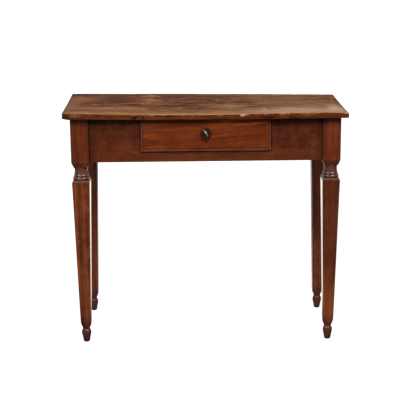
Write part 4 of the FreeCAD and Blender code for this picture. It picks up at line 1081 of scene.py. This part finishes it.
def wear_and_grime(board, smooth, rubbed, seed):
    """How far each point is worn light and how dirty it is, 0 to 1."""
    x, y, _ = smooth.T
    patchy = np.clip(add_waves(board.flat, seed, PATCHES, PATCH_MIDDLE), 0, 1)
    rim = board.end_gap / RIM_WIDTH
    wear = rubbed
    if board.outer < 0:
        upper = np.clip((board.share - WEAR_LEVEL) / WEAR_GROWTH, 0, 1)
        near_edge = np.clip(1 + RIM_FULL - board.free_gap / EDGE_WEAR_WIDTH, 0, 1)
        near_edge = near_edge * np.interp(x, *zip(*EDGE_WEAR))
        wear = np.clip(np.maximum(wear, near_edge * patchy * upper), 0, 1)
    else:
        rim = np.minimum(rim, board.free_gap / REAR_RIM_WIDTH)
    grime = np.clip(1 + RIM_FULL - rim, 0, 1) * np.clip(patchy + RIM_LEAST, 0, 1)
    return wear, grime * np.where(x > 0, np.interp(share_back(y), CLEAN_END, (0, 1)), 1)


def make_plank(name, node, outer, seed, slot=None):
    """One worn board of the top, in place of the flat one."""
    board = Board(node, outer, slot)
    smooth = warp(board, *round_edges(board))
    points, rubbed = dent(board, smooth, seed)
    points[:, 2] += add_waves(board.flat, seed, PLANING) * board.share
    wear, grime = wear_and_grime(board, smooth, rubbed, seed)
    mesh = bpy.data.meshes.new(name)
    mesh.from_pydata(points.tolist(), [], board.faces)
    mesh.polygons.foreach_set("use_smooth", np.ones(len(board.faces), bool))
    for layer, values in (("wear", wear), ("grime", grime)):
        mesh.attributes.new(layer, "FLOAT", "POINT").data.foreach_set("value", values.astype(np.float32))
    plank = bpy.data.objects.new(name, mesh)
    bpy.context.scene.collection.objects.link(plank)
    mesh.materials.append(worn_top_wood(f"{name}_finish", seed))
    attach(plank, "table")
    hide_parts(node)


def pale_floor():
    """Pale floor, white to the camera, which reflects as a warm glow behind the table only."""
    graph = new_graph("pale_floor")
    coords = graph.node("ShaderNodeTexCoord").outputs["Object"]
    place = graph.parts(coords)
    path = graph.node("ShaderNodeLightPath").outputs
    glossy = path["Is Glossy Ray"]
    cloud = graph.noise(graph.vector("SCALE", coords, FLOOR_CLOUDS), 3.0)
    tone = graph.ramp(cloud, (0.3, grey(FLOOR_GREYS[0])), (0.7, grey(FLOOR_GREYS[1])))
    tone = graph.mix(glossy, tone, grey(FLOOR_MIRRORED_GREY))
    behind = graph.span(place["Y"], *FLOOR_MIRRORED_BACK, 0.0, FLOOR_MIRRORED)
    mirrored = graph.times(glossy, behind)
    aside = graph.span(graph.math("ABSOLUTE", place["X"]), *FLOOR_MIRRORED_ASIDE)
    mirrored = graph.times(mirrored, aside)
    seen = graph.math("ADD", path["Is Camera Ray"], mirrored)
    away = graph.vector("LENGTH", coords)
    glow = graph.span(away, *FLOOR_GLOW_REACH, FLOOR_GLOW_NEAR, FLOOR_GLOW_FAR)
    return graph.shader(
        Base_Color=tone,
        Roughness=0.9,
        Specular_IOR_Level=0.1,
        Emission_Color=graph.mix(glossy, grey(1.0), FLOOR_WARMTH),
        Emission_Strength=graph.times(seen, glow),
    )


def make_floor():
    """A plain pale floor that runs on to the background."""
    mesh = bpy.data.meshes.new("floor")
    near, far = FLOOR_FRONT, FLOOR_REACH
    corners = [(-far, near, 0), (far, near, 0), (far, far, 0), (-far, far, 0)]
    mesh.from_pydata(corners, [], [(0, 1, 2, 3)])
    floor = bpy.data.objects.new("floor", mesh)
    bpy.context.scene.collection.objects.link(floor)
    mesh.materials.append(pale_floor())


def make_softbox(name, angle):
    """A square soft light, aimed at the table."""
    light = bpy.data.lights.new(name, "AREA")
    light.shape = "SQUARE"
    light.size = SOFTBOX_SIZE
    light.energy = SOFTBOX_POWER
    softbox = bpy.data.objects.new(name, light)
    level = math.cos(SOFTBOX_RISE) * SOFTBOX_DISTANCE
    height = math.sin(SOFTBOX_RISE) * SOFTBOX_DISTANCE
    softbox.location = LIGHT_TARGET + Vector((math.sin(angle) * level, -math.cos(angle) * level, height))
    softbox.rotation_euler = (LIGHT_TARGET - softbox.location).to_track_quat("-Z", "Y").to_euler()
    bpy.context.scene.collection.objects.link(softbox)


def make_world():
    """White in view; as light, a white backdrop behind the table and a dark room round the camera."""
    graph = Graph(bpy.data.worlds.new("studio"))
    direction = graph.parts(graph.node("ShaderNodeTexCoord").outputs["Generated"])
    backdrop = graph.span(direction["Y"], *BACKDROP_RISE, ROOM_LIGHT, BACKDROP_LIGHT)
    seen = graph.node("ShaderNodeLightPath").outputs["Is Camera Ray"]
    shown = graph.result("ShaderNodeMix", {"data_type": "FLOAT"}, seen, backdrop, WHITE_IN_VIEW)
    background = graph.node("ShaderNodeBackground", Color=grey(1.0), Strength=shown)
    graph.node("ShaderNodeOutputWorld", Surface=background.outputs["Background"])
    bpy.context.scene.world = graph.owner


def make_camera():
    """The camera at the photograph's place and angle."""
    data = bpy.data.cameras.new("camera")
    data.lens = CAMERA_LENS
    data.sensor_width = SENSOR_WIDTH
    data.clip_end = CLIP_END
    camera = bpy.data.objects.new("camera", data)
    bpy.context.scene.collection.objects.link(camera)
    turn = Matrix.Rotation(CAMERA_YAW, 3, "Z") @ Matrix.Rotation(CAMERA_PITCH, 3, "X")
    turn = turn @ Matrix.Rotation(CAMERA_ROLL, 3, "Y") @ Matrix.Rotation(math.pi / 2, 3, "X")
    camera.matrix_world = Matrix.Translation(CAMERA_PLACE) @ turn.to_4x4()
    bpy.context.scene.camera = camera


dress_frame()
dress_inside()
dress_metal()
make_plank("worn_front_plank", "top_front_plank", outer=-1, seed=4, slot=bolt_slot)
make_plank("worn_rear_plank", "top_rear_plank", outer=1, seed=9)
make_floor()
make_softbox("left_softbox", -SOFTBOX_ANGLE)
make_softbox("right_softbox", SOFTBOX_ANGLE)
make_world()
make_camera()
bpy.context.scene.view_settings.view_transform = "Standard"
